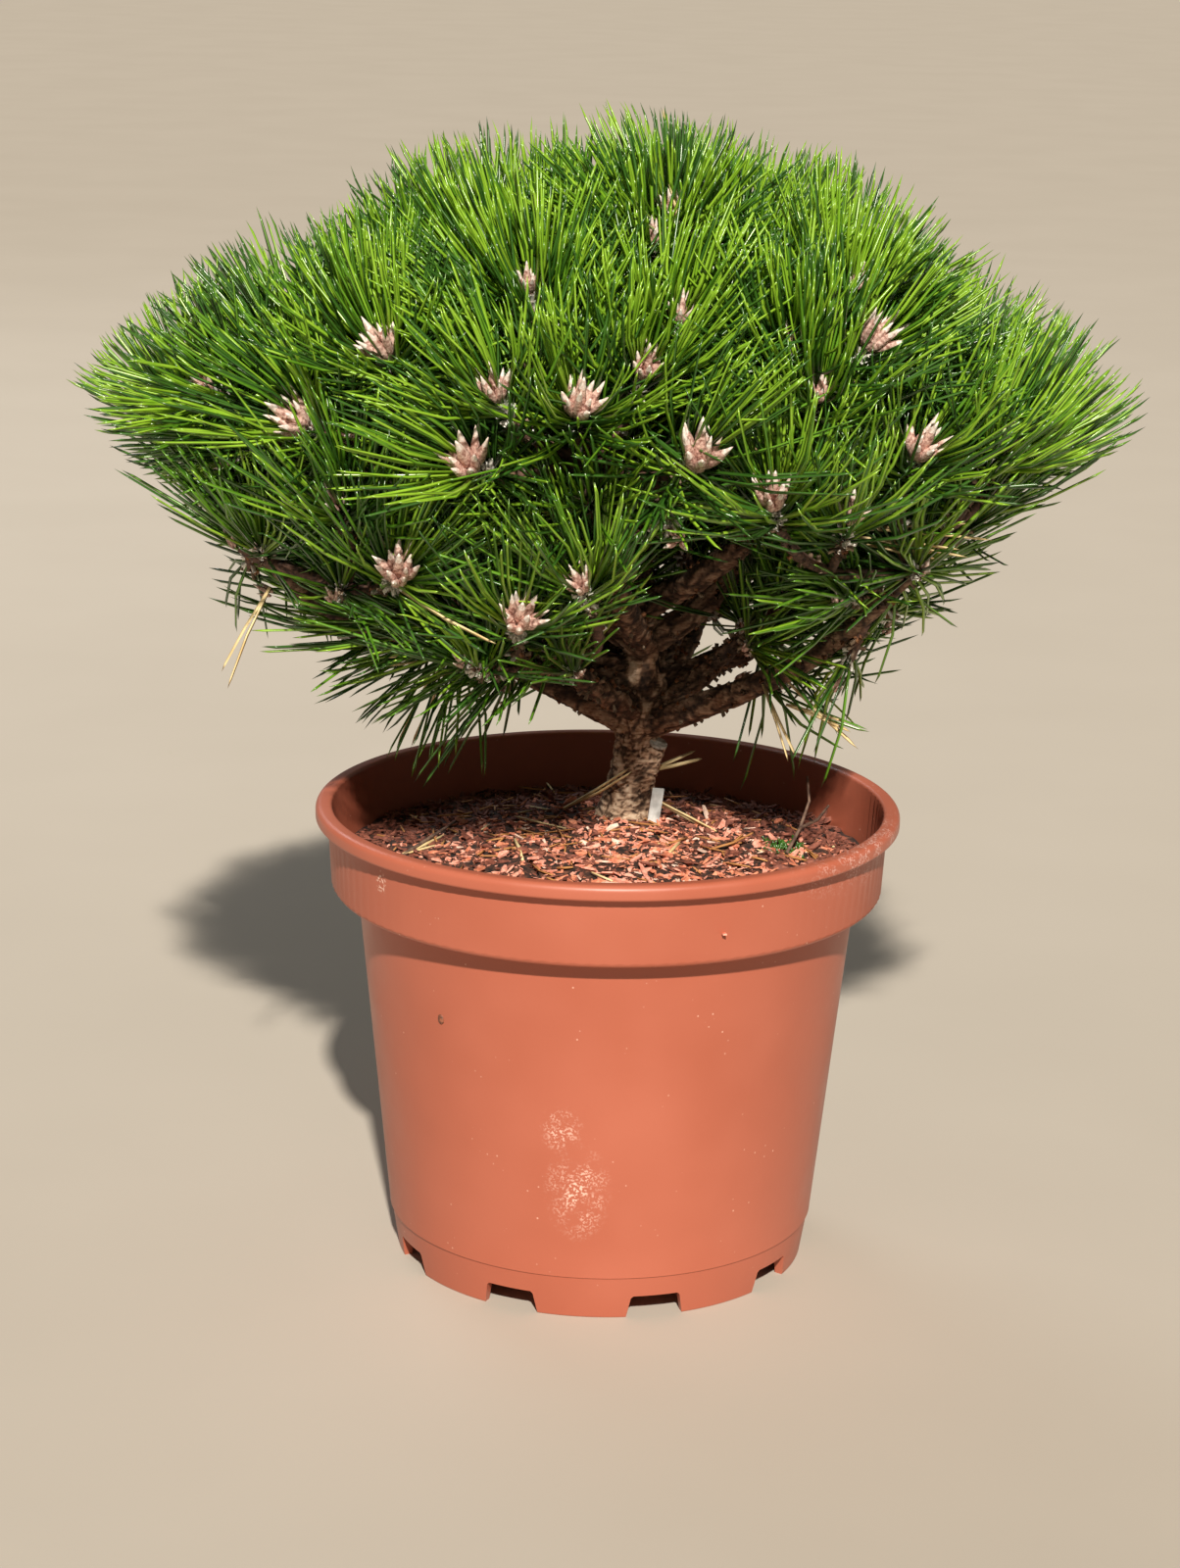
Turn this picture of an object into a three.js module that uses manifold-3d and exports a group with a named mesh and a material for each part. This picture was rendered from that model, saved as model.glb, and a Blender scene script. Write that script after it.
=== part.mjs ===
// A dwarf Austrian pine in a round terracotta-coloured nursery pot.
// Millimetres, +Z up. The origin is the middle of the pot's underside and the front faces -Y.
// The pot, the compost, the trunk, every bough and every mass of needles is a solid of its own.

import * as THREE from 'three';
import { mergeVertices } from 'three/addons/utils/BufferGeometryUtils.js';
import Module from 'manifold-3d';

const wasm = await Module();
wasm.setup();

// Clearance between pieces that touch on the real plant
const GAP = 0.3;
// How far a cutting piece reaches past the surface that it cuts
const PAST = 1;

// Pot
const POT_HEIGHT = 240;
const POT_SEGMENTS = 48;
const RIM_RADIUS = 150;
const BEAD_RADIUS = 3.9;
const BEAD_FROM = -80;
const BEAD_STEPS = 4;
const LIP = { inward: 1, down: 2 };
const COLLAR_TOP_RADIUS = 143.8;
const COLLAR_BOTTOM_RADIUS = 141.4;
const COLLAR_BOTTOM = 196;
const COLLAR_CORNER = 5;
const COLLAR_CORNER_STEPS = 2;
const BODY_TOP_RADIUS = 128.5;
const SEAM_HEIGHT = 23.4;
const SEAM_RADIUS = 111.1;
const SEAM_STEP = 0.9;
const FOOT_RADIUS = 106.7;
const FOOT_WIDTH = 5.5;
const WALL = 2.3;
const FLOOR_UNDERSIDE = 13;
const FLOOR_TOP = 15.6;
const FOOT_COUNT = 9;
const FOOT_TURN = -94.4;
const SLOT_ANGLE = 16;
const SLOT_HEIGHT = 12;
const SLOT_TAPER = 0.86;
const SLOT_CORNER = 1.2;
const SLOT_INWARD = 14;
const SLOT_OUTWARD = 10;
const DRAIN_COUNT = 6;
const DRAIN_RADIUS = 6;
const DRAIN_CIRCLE = 90;
const DRAIN_SIDES = 8;

// Compost
const COMPOST_EDGE = 209;
const MOUND_HEIGHT = 222.6;
const MOUND_RADIUS = 62;
const MOUND_FOOT = 5;
const COMPOST_INSET = 1;
const COMPOST_SEGMENTS = 36;

// Plain plant label: a narrow strip pushed into the compost beside the trunk
const LABEL = { width: 7, thickness: 0.9, above: 19, below: 16, x: 24, y: 22, turn: 0.25 };

// Trunk: from its flat cut on the mound to its tip below the top shoots, with a sawn-off stub
const TRUNK_FOOT = { x: 8, y: 36 };
const TRUNK_SUNK = 8;
const TRUNK_TIP = { x: 21, y: 2, z: 500 };
const TRUNK_BOW = 5;
const TRUNK_SIDES = 11;
const TRUNK_STEPS = 15;
const TRUNK_STRETCHES = 16;
const TRUNK_FOOT_RADIUS = 12.6;
const TRUNK_FORK_HEIGHT = 287;
const TRUNK_FORK_RADIUS = 11.2;
const LEADER_RADIUS = 8.2;
const LEADER_TIP_RADIUS = 3.4;
const FLARE = 4.2;
const FLARE_HEIGHT = 9;
const SHOULDER_SHARE = 6;
const STUB = { x: 18.5, y: 32.5, z: 244, dx: 7, dy: -3, dz: 21, radius: 5.8, cut: 4.2 };
const STUB_SIDES = 10;
const STUB_STEPS = 2;

// Boughs
const BOUGH_RADIUS = 7.2;
const BOUGH_TIP_RADIUS = 4.8;
const BOUGH_SIDES = 6;
const BOUGH_STEPS = 5;
const BOUGH_STRETCHES = 10;
const BOUGH_END = 0.8;
const BOUGH_LEAVING = { rise: 0.42, share: 0.42 };
const BOUGH_RISING = { rise: 1.1, share: 0.34 };
const STEM_SIDES = 4;
const STEM_STEPS = 2;
const TRUNK_STEM_STEPS = 3;

// Reach of the crown: an egg-shaped space whose widest girth is at CROWN.z
const CROWN = { x: -4, y: 0, z: 440, rx: 266, ry: 258, up: 150, down: 196 };

// Shoots: three-sided twigs that each end in a pointed bud, with sprays of needles round them
const TWIG_SIDES = 3;
const TWIG_RADIUS = 5;
const BUD_RADIUS = 4.6;
const SHOOT_BEND = 0.5;
const SHOOT_SLACK = 0.15;
const SHOOT_JOINT = 0.5;
const SHOOT_CHECKS = 5;
const BUD_LENGTH = 20;
const BUD_CLEAR = 1.1;
const NEEDLED_LENGTH = 66;
const NEEDLED_SHARE = 0.8;
const AXIS_STEP = 0.02;
const NEEDLE_LENGTH = 84;
const NEEDLE_LEAST = 0.9;
const NEEDLE_RANGE = 0.2;
const SHORTEST_NEEDLE = 0.66;
const OUTER_TOOTH = 0.93;
const LEAN_OLD = 66;
const LEAN_YOUNG = 38;
const LEAN_JITTER = 14;
const SPRAY_TRIES = 24;
const SPRAY_PLACES = 5;
const SPRAY_STRIDE = 3;
const SPRAY_TWIST = 1.2;
const SPRAY_THICKNESS = 1.1;
const SPRAY_ROOT = 0.1;
const SPRAY_FAN = 17;
const TOOTH_WIDTH = 4.4;
const TOOTH_NOTCH = 0.28;
const TRIM = 1;
const GOLDEN_TURN = 2.399963;
const TURN_JITTER = 0.6;

// Rings of foliage masses. Each ring gives its axis, how many masses it has, the azimuth of the
// first and the step to the next, the distance from the axis and the height of the middle of
// their shoot tips, how far in and down from there the shoots part, the shoots of one mass and
// the sprays of one shoot, their spread, how much the shoots lift, and the heights at which the
// limbs leave the trunk by turns. The masses in BOUGHLESS grow on the trunk itself.
const RINGS = [
  { level: 'low', x: -5, y: -3, count: 6, first: -27, step: 47, out: 212, z: 426, inward: 38,
    drop: 42, shoots: 4, sprays: 4, spread: 38, lift: 0.4, leave: [272, 290] },
  { level: 'middle', x: -4, y: -25, count: 6, first: 270, step: 60, out: 152, z: 480, inward: 30,
    drop: 44, shoots: 3, sprays: 4, spread: 38, lift: 0.8, leave: [318, 338] },
  { level: 'upper', x: 6, y: 2, count: 4, first: 50, step: 90, out: 78, z: 522, inward: 28,
    drop: 60, shoots: 3, sprays: 3, spread: 30, lift: 1.8, leave: [418, 430] },
  { level: 'inner', x: 6, y: 12, count: 5, first: 0, step: 60, out: 92, z: 362, inward: 32,
    drop: 34, shoots: 2, sprays: 4, spread: 26, lift: 0.6, leave: [281, 299] },
];
const TOP = { x: 21, y: 2, z: 548, drop: 44, shoots: 3, sprays: 4, spread: 17 };
const BOUGHLESS = ['upper', 'top'];
const SIDES = ['right', 'back_right', 'back', 'back_left', 'left', 'front_left', 'front',
  'front_right'];
const SEED = 9901;
const SEED_STEP = 97;
const JITTER = { degrees: 8, height: 16, out: 0.06, tip: 0.3, depth: 0.4 };

// Finishes
const FINISH = {
  pot: { color: 0xc46a4a, roughness: 0.5, metalness: 0 },
  compost: { color: 0x3a2a20, roughness: 0.95, metalness: 0 },
  bark: { color: 0x6f6152, roughness: 0.9, metalness: 0 },
  needles: { color: 0x5f8f2f, roughness: 0.55, metalness: 0 },
  label: { color: 0xf0efe9, roughness: 0.45, metalness: 0 },
};

const UP = new THREE.Vector3(0, 0, 1);
// Turns round a twig are counted from the side that this direction gives
const TURN_START = new THREE.Vector3(0.31, 0.17, 0.94);
// A line this near to upright, as a share of its length, has its width counted along +X
const UPRIGHT = 0.2;

const part = new THREE.Group();

function radians(degrees) {
  return THREE.MathUtils.degToRad(degrees);
}

function vector(place) {
  return new THREE.Vector3(place.x, place.y, place.z);
}

// Seeded random numbers from 0 to 1
function seeded(seed) {
  let state = seed;
  return () => {
    state = (state * 16807) % 2147483647;
    return state / 2147483647;
  };
}

// A closed geometry as a solid that can be joined and cut
function solid(geometry) {
  geometry.deleteAttribute('normal');
  geometry.deleteAttribute('uv');
  const merged = mergeVertices(geometry, 1e-4);
  return new wasm.Manifold(new wasm.Mesh({
    numProp: 3,
    vertProperties: Float32Array.from(merged.attributes.position.array),
    triVerts: Uint32Array.from(merged.index.array),
  }));
}

// The largest piece of a solid, without loose scraps and sealed hollows
function largest(shape) {
  return shape.decompose().reduce((best, piece) => (piece.volume() > best.volume() ? piece : best));
}

function addMesh(name, shape, finish) {
  const mesh = shape.getMesh();
  const geometry = new THREE.BufferGeometry();
  geometry.setAttribute('position', new THREE.BufferAttribute(mesh.vertProperties, 3));
  geometry.setIndex(new THREE.BufferAttribute(mesh.triVerts, 1));
  const node = new THREE.Mesh(geometry, new THREE.MeshStandardMaterial(finish));
  node.name = name;
  part.add(node);
}

// A round profile of [radius, height] pairs turned about the vertical axis
function turned(profile, segments) {
  const points = profile.map(([radius, height]) => new THREE.Vector2(radius, height));
  return solid(new THREE.LatheGeometry(points, segments).rotateX(Math.PI / 2));
}

// Points on an arc from one angle to another, for a turned profile
function arc(radius, height, size, from, to, steps) {
  return Array.from({ length: steps + 1 }, (_, i) => {
    const angle = radians(from + ((to - from) * i) / steps);
    return [radius + size * Math.cos(angle), height + size * Math.sin(angle)];
  });
}

// A tapering limb: a cone with rings along its length, bent onto a curve
function limb(route, radiusAt, sides, steps) {
  const pointed = radiusAt(1) === 0;
  const geometry = new THREE.CylinderGeometry(pointed ? 0 : 1, 1, 1, sides, steps);
  const start = route(0);
  const chord = route(1).sub(start);
  const across = new THREE.Vector3().crossVectors(UP, chord);
  if (across.length() < UPRIGHT * chord.length()) across.set(1, 0, 0);
  const position = geometry.attributes.position;
  const step = 1e-3;
  for (let i = 0; i < position.count; i += 1) {
    const t = position.getY(i) + 0.5;
    const tangent = route(Math.min(1, t + step)).sub(route(Math.max(0, t - step))).normalize();
    const side = across.clone().addScaledVector(tangent, -across.dot(tangent)).normalize();
    const other = new THREE.Vector3().crossVectors(side, tangent);
    const radius = t < 1 && pointed ? radiusAt(t) / (1 - t) : radiusAt(t);
    const point = route(t)
      .addScaledVector(side, position.getX(i) * radius)
      .addScaledVector(other, position.getZ(i) * radius);
    position.setXYZ(i, point.x, point.y, point.z);
  }
  return solid(geometry);
}

// A limb's centre line as short straight stretches, to keep other pieces clear of it
function stretches(route, radiusAt, from, to, count) {
  return Array.from({ length: count }, (_, i) => {
    const a = from + ((to - from) * i) / count;
    const b = from + ((to - from) * (i + 1)) / count;
    return { a: route(a), b: route(b), radius: Math.max(radiusAt(a), radiusAt(b)) };
  });
}

// Closest approach of two straight stretches: how far along each it lies, and the distance
function approach(p1, q1, p2, q2) {
  const d1 = q1.clone().sub(p1);
  const d2 = q2.clone().sub(p2);
  const r = p1.clone().sub(p2);
  const a = d1.dot(d1);
  const e = d2.dot(d2);
  const b = d1.dot(d2);
  const c = d1.dot(r);
  const f = d2.dot(r);
  const denominator = a * e - b * b;
  let s = denominator > 1e-9 ? THREE.MathUtils.clamp((b * f - c * e) / denominator, 0, 1) : 0;
  let t = (b * s + f) / e;
  if (t < 0 || t > 1) {
    t = THREE.MathUtils.clamp(t, 0, 1);
    s = THREE.MathUtils.clamp((b * t - c) / a, 0, 1);
  }
  const apart = p1.clone().addScaledVector(d1, s).distanceTo(p2.clone().addScaledVector(d2, t));
  return { s, t, apart };
}

// Pot

function footSlot(index) {
  const middle = radians(FOOT_TURN + (360 * (index + 0.5)) / FOOT_COUNT);
  const half = FOOT_RADIUS * Math.sin(radians(SLOT_ANGLE / 2));
  const top = half * SLOT_TAPER;
  const outline = new THREE.Shape([
    new THREE.Vector2(-half, -PAST),
    new THREE.Vector2(half, -PAST),
    new THREE.Vector2(top, SLOT_HEIGHT - SLOT_CORNER),
    new THREE.Vector2(top - SLOT_CORNER, SLOT_HEIGHT),
    new THREE.Vector2(SLOT_CORNER - top, SLOT_HEIGHT),
    new THREE.Vector2(-top, SLOT_HEIGHT - SLOT_CORNER),
  ]);
  const geometry = new THREE.ExtrudeGeometry(outline, {
    depth: SLOT_INWARD + SLOT_OUTWARD,
    bevelEnabled: false,
    steps: 1,
  });
  geometry.rotateX(Math.PI / 2).translate(0, SLOT_INWARD - FOOT_RADIUS, 0);
  geometry.rotateZ(middle + Math.PI / 2);
  return solid(geometry);
}

function drainHole(index) {
  const angle = radians(FOOT_TURN + (360 * index) / DRAIN_COUNT);
  const depth = FLOOR_TOP - FLOOR_UNDERSIDE + 2 * PAST;
  const geometry = new THREE.CylinderGeometry(DRAIN_RADIUS, DRAIN_RADIUS, depth, DRAIN_SIDES, 1);
  geometry.rotateX(Math.PI / 2).translate(DRAIN_CIRCLE, 0, (FLOOR_TOP + FLOOR_UNDERSIDE) / 2);
  geometry.rotateZ(angle);
  return solid(geometry);
}

function bodyRadius(z) {
  const t = (z - SEAM_HEIGHT) / (COLLAR_BOTTOM - SEAM_HEIGHT);
  return SEAM_RADIUS + (BODY_TOP_RADIUS - SEAM_RADIUS) * t;
}

function makePot() {
  const beadMiddle = POT_HEIGHT - BEAD_RADIUS;
  const outside = [
    [FOOT_RADIUS - FOOT_WIDTH, FLOOR_UNDERSIDE],
    [FOOT_RADIUS - FOOT_WIDTH, 0],
    [FOOT_RADIUS, 0],
    [SEAM_RADIUS - SEAM_STEP, SEAM_HEIGHT - SEAM_STEP],
    [SEAM_RADIUS, SEAM_HEIGHT],
    [BODY_TOP_RADIUS, COLLAR_BOTTOM],
    ...arc(COLLAR_BOTTOM_RADIUS - COLLAR_CORNER, COLLAR_BOTTOM + COLLAR_CORNER, COLLAR_CORNER,
      -90, 0, COLLAR_CORNER_STEPS),
    [COLLAR_TOP_RADIUS, beadMiddle - BEAD_RADIUS],
    ...arc(RIM_RADIUS - BEAD_RADIUS, beadMiddle, BEAD_RADIUS, BEAD_FROM, 90, BEAD_STEPS),
  ];
  const inside = [
    [COLLAR_TOP_RADIUS - WALL + LIP.inward, POT_HEIGHT],
    [COLLAR_TOP_RADIUS - WALL, POT_HEIGHT - LIP.down],
    [COLLAR_BOTTOM_RADIUS - WALL, COLLAR_BOTTOM + COLLAR_CORNER],
    [COLLAR_BOTTOM_RADIUS - COLLAR_CORNER, COLLAR_BOTTOM + WALL],
    [BODY_TOP_RADIUS - WALL, COLLAR_BOTTOM + WALL],
    [bodyRadius(FLOOR_TOP) - WALL, FLOOR_TOP],
  ];
  let pot = turned([[0, FLOOR_UNDERSIDE], ...outside, ...inside, [0, FLOOR_TOP]], POT_SEGMENTS);
  for (let i = 0; i < FOOT_COUNT; i += 1) pot = pot.subtract(footSlot(i));
  for (let i = 0; i < DRAIN_COUNT; i += 1) pot = pot.subtract(drainHole(i));
  addMesh('pot', pot, FINISH.pot);
}

// Compost and label

function labelBlade(extra) {
  const length = LABEL.above + LABEL.below + extra;
  const geometry = new THREE.BoxGeometry(LABEL.width + extra, LABEL.thickness + extra, length);
  geometry.translate(0, 0, MOUND_HEIGHT + (LABEL.above - LABEL.below) / 2);
  geometry.rotateZ(LABEL.turn);
  geometry.translate(LABEL.x, LABEL.y, 0);
  return solid(geometry);
}

function makeCompost() {
  const profile = [
    [0, FLOOR_TOP + GAP],
    [bodyRadius(FLOOR_TOP) - WALL - GAP - COMPOST_INSET, FLOOR_TOP + GAP],
    [BODY_TOP_RADIUS - WALL - GAP, COLLAR_BOTTOM + WALL + GAP],
    [COLLAR_BOTTOM_RADIUS - COLLAR_CORNER - GAP, COLLAR_BOTTOM + WALL + GAP],
    [COLLAR_BOTTOM_RADIUS - WALL - GAP, COLLAR_BOTTOM + COLLAR_CORNER],
    [COLLAR_BOTTOM_RADIUS - WALL - GAP, COMPOST_EDGE],
    [(MOUND_RADIUS + COLLAR_BOTTOM_RADIUS) / 2, COMPOST_EDGE + MOUND_FOOT],
    [MOUND_RADIUS, MOUND_HEIGHT],
    [0, MOUND_HEIGHT],
  ];
  const compost = turned(profile, COMPOST_SEGMENTS).subtract(labelBlade(2 * GAP));
  addMesh('compost', compost, FINISH.compost);
  addMesh('label_strip', labelBlade(0), FINISH.label);
}

// Trunk: one line from the flat cut on the mound, leaning forward as it climbs, to the top shoots

const groundHeight = MOUND_HEIGHT + GAP;
const trunkBase = new THREE.Vector3(TRUNK_FOOT.x, TRUNK_FOOT.y, groundHeight - TRUNK_SUNK);

function trunkRoute(t) {
  const point = trunkBase.clone().lerp(vector(TRUNK_TIP), t);
  point.x += TRUNK_BOW * Math.sin(2 * Math.PI * t);
  point.y += TRUNK_BOW * Math.sin(Math.PI * t);
  return point;
}

function trunkHeight(z) {
  return (z - trunkBase.z) / (TRUNK_TIP.z - trunkBase.z);
}

function trunkRadius(t) {
  const z = THREE.MathUtils.lerp(trunkBase.z, TRUNK_TIP.z, t);
  const fork = trunkHeight(TRUNK_FORK_HEIGHT);
  const flare = FLARE * Math.exp(Math.min(0, groundHeight - z) / FLARE_HEIGHT);
  if (t < fork) {
    return THREE.MathUtils.lerp(TRUNK_FOOT_RADIUS, TRUNK_FORK_RADIUS, t / fork) + flare;
  }
  const above = (t - fork) / (1 - fork);
  const shoulder = Math.max(0, 1 - above * SHOULDER_SHARE);
  const leader = THREE.MathUtils.lerp(LEADER_RADIUS, LEADER_TIP_RADIUS, above);
  return leader + (TRUNK_FORK_RADIUS - LEADER_RADIUS) * shoulder;
}

function trunkSolid(extra) {
  return limb(trunkRoute, (t) => trunkRadius(t) + extra, TRUNK_SIDES, TRUNK_STEPS);
}

// The stub of a sawn-off limb, low on the trunk's right side
function stubSolid(extra) {
  const foot = vector(STUB);
  const axis = new THREE.Vector3(STUB.dx, STUB.dy, STUB.dz);
  const route = (t) => foot.clone().addScaledVector(axis, t);
  const radiusAt = (t) => THREE.MathUtils.lerp(STUB.radius, STUB.cut, t) + extra;
  return limb(route, radiusAt, STUB_SIDES, STUB_STEPS);
}

function makeTrunk() {
  const below = new THREE.BoxGeometry(RIM_RADIUS, RIM_RADIUS, POT_HEIGHT);
  below.translate(TRUNK_FOOT.x, TRUNK_FOOT.y, groundHeight - POT_HEIGHT / 2);
  const whole = trunkSolid(0).add(stubSolid(0)).subtract(solid(below));
  addMesh('trunk', largest(whole), FINISH.bark);
}

// Layout: every mass has a middle, a fork where its shoots part, and the tips of its shoots

function outwardAt(azimuth) {
  return new THREE.Vector3(Math.cos(azimuth), Math.sin(azimuth), 0);
}

function shootTips(middle, facing, shoots, spread, random) {
  const across = new THREE.Vector3().crossVectors(UP, facing);
  if (across.length() < UPRIGHT) across.set(1, 0, 0);
  across.normalize();
  const along = new THREE.Vector3().crossVectors(facing, across).normalize();
  const turn = random() * Math.PI;
  return Array.from({ length: shoots }, (_, i) => {
    const angle = turn + (2 * Math.PI * i) / shoots;
    const reach = spread * (1 + JITTER.tip * (random() - 0.5));
    return middle.clone()
      .addScaledVector(across, reach * Math.cos(angle))
      .addScaledVector(along, reach * Math.sin(angle))
      .addScaledVector(facing, spread * JITTER.depth * (random() - 0.5));
  });
}

function layMass(ring, index, seed) {
  const random = seeded(seed);
  const degrees = ring.first + ring.step * index + JITTER.degrees * (random() - 0.5);
  const outward = outwardAt(radians(degrees));
  const middle = new THREE.Vector3(ring.x, ring.y, ring.z + JITTER.height * (random() - 0.5))
    .addScaledVector(outward, ring.out * (1 + JITTER.out * (random() - 0.5)));
  const facing = outward.clone().addScaledVector(UP, ring.lift).normalize();
  const fork = middle.clone()
    .addScaledVector(outward, -ring.inward)
    .addScaledVector(UP, -ring.drop);
  const side = SIDES[((Math.round(degrees / 45) % 8) + 8) % 8];
  return {
    name: `${ring.level}_${side}`,
    facing,
    middle,
    fork,
    ring,
    leave: ring.leave[index % 2],
    bough: !BOUGHLESS.includes(ring.level),
    tips: shootTips(middle, facing, ring.shoots, ring.spread, random),
    random,
  };
}

function layTop(seed) {
  const random = seeded(seed);
  const middle = vector(TOP);
  const facing = UP.clone();
  return {
    name: 'top',
    ring: TOP,
    facing,
    middle,
    fork: middle.clone().addScaledVector(UP, -TOP.drop),
    tips: shootTips(middle, facing, TOP.shoots, TOP.spread, random),
    random,
  };
}

const masses = [];
for (const ring of RINGS) {
  for (let i = 0; i < ring.count; i += 1) {
    masses.push(layMass(ring, i, SEED + SEED_STEP * masses.length));
  }
}
masses.push(layTop(SEED + SEED_STEP * masses.length));

// Boughs: each leaves the trunk, runs outward, then sweeps up towards the fork of its mass

function boughRoute(mass) {
  const start = trunkRoute(trunkHeight(mass.leave));
  const reach = mass.fork.distanceTo(start);
  const outward = mass.fork.clone().sub(start).setZ(0).normalize();
  const leaving = outward.clone().addScaledVector(UP, BOUGH_LEAVING.rise).normalize();
  const rising = outward.clone().addScaledVector(UP, BOUGH_RISING.rise).normalize();
  const curve = new THREE.CubicBezierCurve3(
    start,
    start.clone().addScaledVector(leaving, BOUGH_LEAVING.share * reach),
    mass.fork.clone().addScaledVector(rising, -BOUGH_RISING.share * reach),
    mass.fork,
  );
  return (t) => curve.getPoint(t);
}

function boughRadius(t) {
  return THREE.MathUtils.lerp(BOUGH_RADIUS, BOUGH_TIP_RADIUS, t);
}

// The limbs that needles and twigs keep clear of
const limbs = [
  { name: 'trunk', parts: [
    ...stretches(trunkRoute, trunkRadius, 0, 1, TRUNK_STRETCHES),
    { a: vector(STUB), b: vector(STUB).add(new THREE.Vector3(STUB.dx, STUB.dy, STUB.dz)),
      radius: STUB.radius },
  ] },
];

for (const mass of masses) {
  if (mass.leave) mass.route = boughRoute(mass);
  if (mass.bough) {
    limbs.push({
      name: mass.name,
      parts: stretches(mass.route, boughRadius, 0, BOUGH_END, BOUGH_STRETCHES),
    });
  }
}

const thickTrunk = trunkSolid(GAP).add(stubSolid(GAP));

function boughSolid(mass, extra) {
  const route = (t) => mass.route(t * BOUGH_END);
  const radiusAt = (t) => boughRadius(t * BOUGH_END) + extra;
  return limb(route, radiusAt, BOUGH_SIDES, BOUGH_STEPS);
}

// Each bough is cut to the trunk, and to an older bough where the two leave it side by side
function makeBoughs() {
  let older = thickTrunk;
  for (const mass of masses.filter((one) => one.bough)) {
    addMesh(`bough_${mass.name}`, largest(boughSolid(mass, 0).subtract(older)), FINISH.bark);
    older = older.add(boughSolid(mass, GAP));
  }
}

// Foliage

// How far a point lies inside the mass's own space, past which the next mass begins
function roomAt(mass, point) {
  let room = Infinity;
  for (const other of masses) {
    if (other !== mass) {
      const between = other.middle.distanceTo(mass.middle);
      const away = point.distanceToSquared(other.middle) - point.distanceToSquared(mass.middle);
      room = Math.min(room, away / (2 * between));
    }
  }
  return room;
}

// How far out a point lies in the crown: 1 on its surface
function crownLevel(point) {
  const rise = point.z - CROWN.z;
  return Math.hypot(
    (point.x - CROWN.x) / CROWN.rx,
    (point.y - CROWN.y) / CROWN.ry,
    rise / (rise > 0 ? CROWN.up : CROWN.down),
  );
}

function touchesLimb(a, b, radius, skipped) {
  return limbs.some((one) => one.name !== skipped && one.parts.some((stretch) => (
    approach(a, b, stretch.a, stretch.b).apart < stretch.radius + radius + GAP
  )));
}

// A shoot bends from the fork towards the way its mass faces, in three straight stretches
function shootRoute(mass, tip) {
  const reach = tip.distanceTo(mass.fork);
  const bend = tip.clone().addScaledVector(mass.facing, -SHOOT_BEND * reach);
  const curve = new THREE.QuadraticBezierCurve3(
    mass.fork,
    bend.lerp(mass.fork, SHOOT_SLACK),
    tip,
  );
  const joints = [0, SHOOT_JOINT, 1 - BUD_LENGTH / reach, 1];
  const points = joints.map((t) => curve.getPoint(t));
  return {
    reach,
    joints,
    at: (t) => {
      const next = Math.max(1, joints.findIndex((joint) => joint >= t));
      const along = (t - joints[next - 1]) / (joints[next] - joints[next - 1]);
      return points[next - 1].clone().lerp(points[next], along);
    },
  };
}

// The twig thins a little along its stretches and the last one is the pointed bud
function shootSolid(shoot) {
  const last = shoot.joints.length - 1;
  const route = (t) => {
    const low = Math.min(Math.floor(t * last), last - 1);
    const along = t * last - low;
    return shoot.at(THREE.MathUtils.lerp(shoot.joints[low], shoot.joints[low + 1], along));
  };
  const radiusAt = (t) => (t < 1 ? THREE.MathUtils.lerp(TWIG_RADIUS, BUD_RADIUS, t) : 0);
  return limb(route, radiusAt, TWIG_SIDES, last);
}

// A spray of needles: a thin blade of three long teeth that fan out from one root
function spraySolid(spray) {
  const points = [new THREE.Vector2(0, 0)];
  spray.teeth.forEach((tooth, i) => {
    if (i > 0) {
      const between = (spray.teeth[i - 1].fan + tooth.fan) / 2;
      const notch = TOOTH_NOTCH * NEEDLE_LENGTH;
      points.push(new THREE.Vector2(notch * Math.cos(between), notch * Math.sin(between)));
    }
    const { reach, fan } = tooth;
    points.push(new THREE.Vector2(reach * Math.cos(fan), reach * Math.sin(fan)));
  });
  const geometry = new THREE.ExtrudeGeometry(new THREE.Shape(points), {
    depth: SPRAY_THICKNESS,
    bevelEnabled: false,
    steps: 1,
  });
  geometry.translate(0, 0, -SPRAY_THICKNESS / 2);
  const flat = new THREE.Vector3().crossVectors(spray.way, spray.across);
  geometry.applyMatrix4(new THREE.Matrix4().makeBasis(spray.way, spray.across, flat)
    .setPosition(spray.from));
  return solid(geometry);
}

function toothTip(spray, tooth, reach) {
  return spray.from.clone()
    .addScaledVector(spray.way, reach * Math.cos(tooth.fan))
    .addScaledVector(spray.across, reach * Math.sin(tooth.fan));
}

// Whether a tooth would cross one that is already there, outside the twigs
function crosses(from, to, teeth) {
  const start = from.clone().lerp(to, SPRAY_ROOT);
  return teeth.some((other) => (
    approach(start, to, other.from.clone().lerp(other.to, SPRAY_ROOT), other.to).apart
      < TOOTH_WIDTH / 2 + GAP
  ));
}

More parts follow.
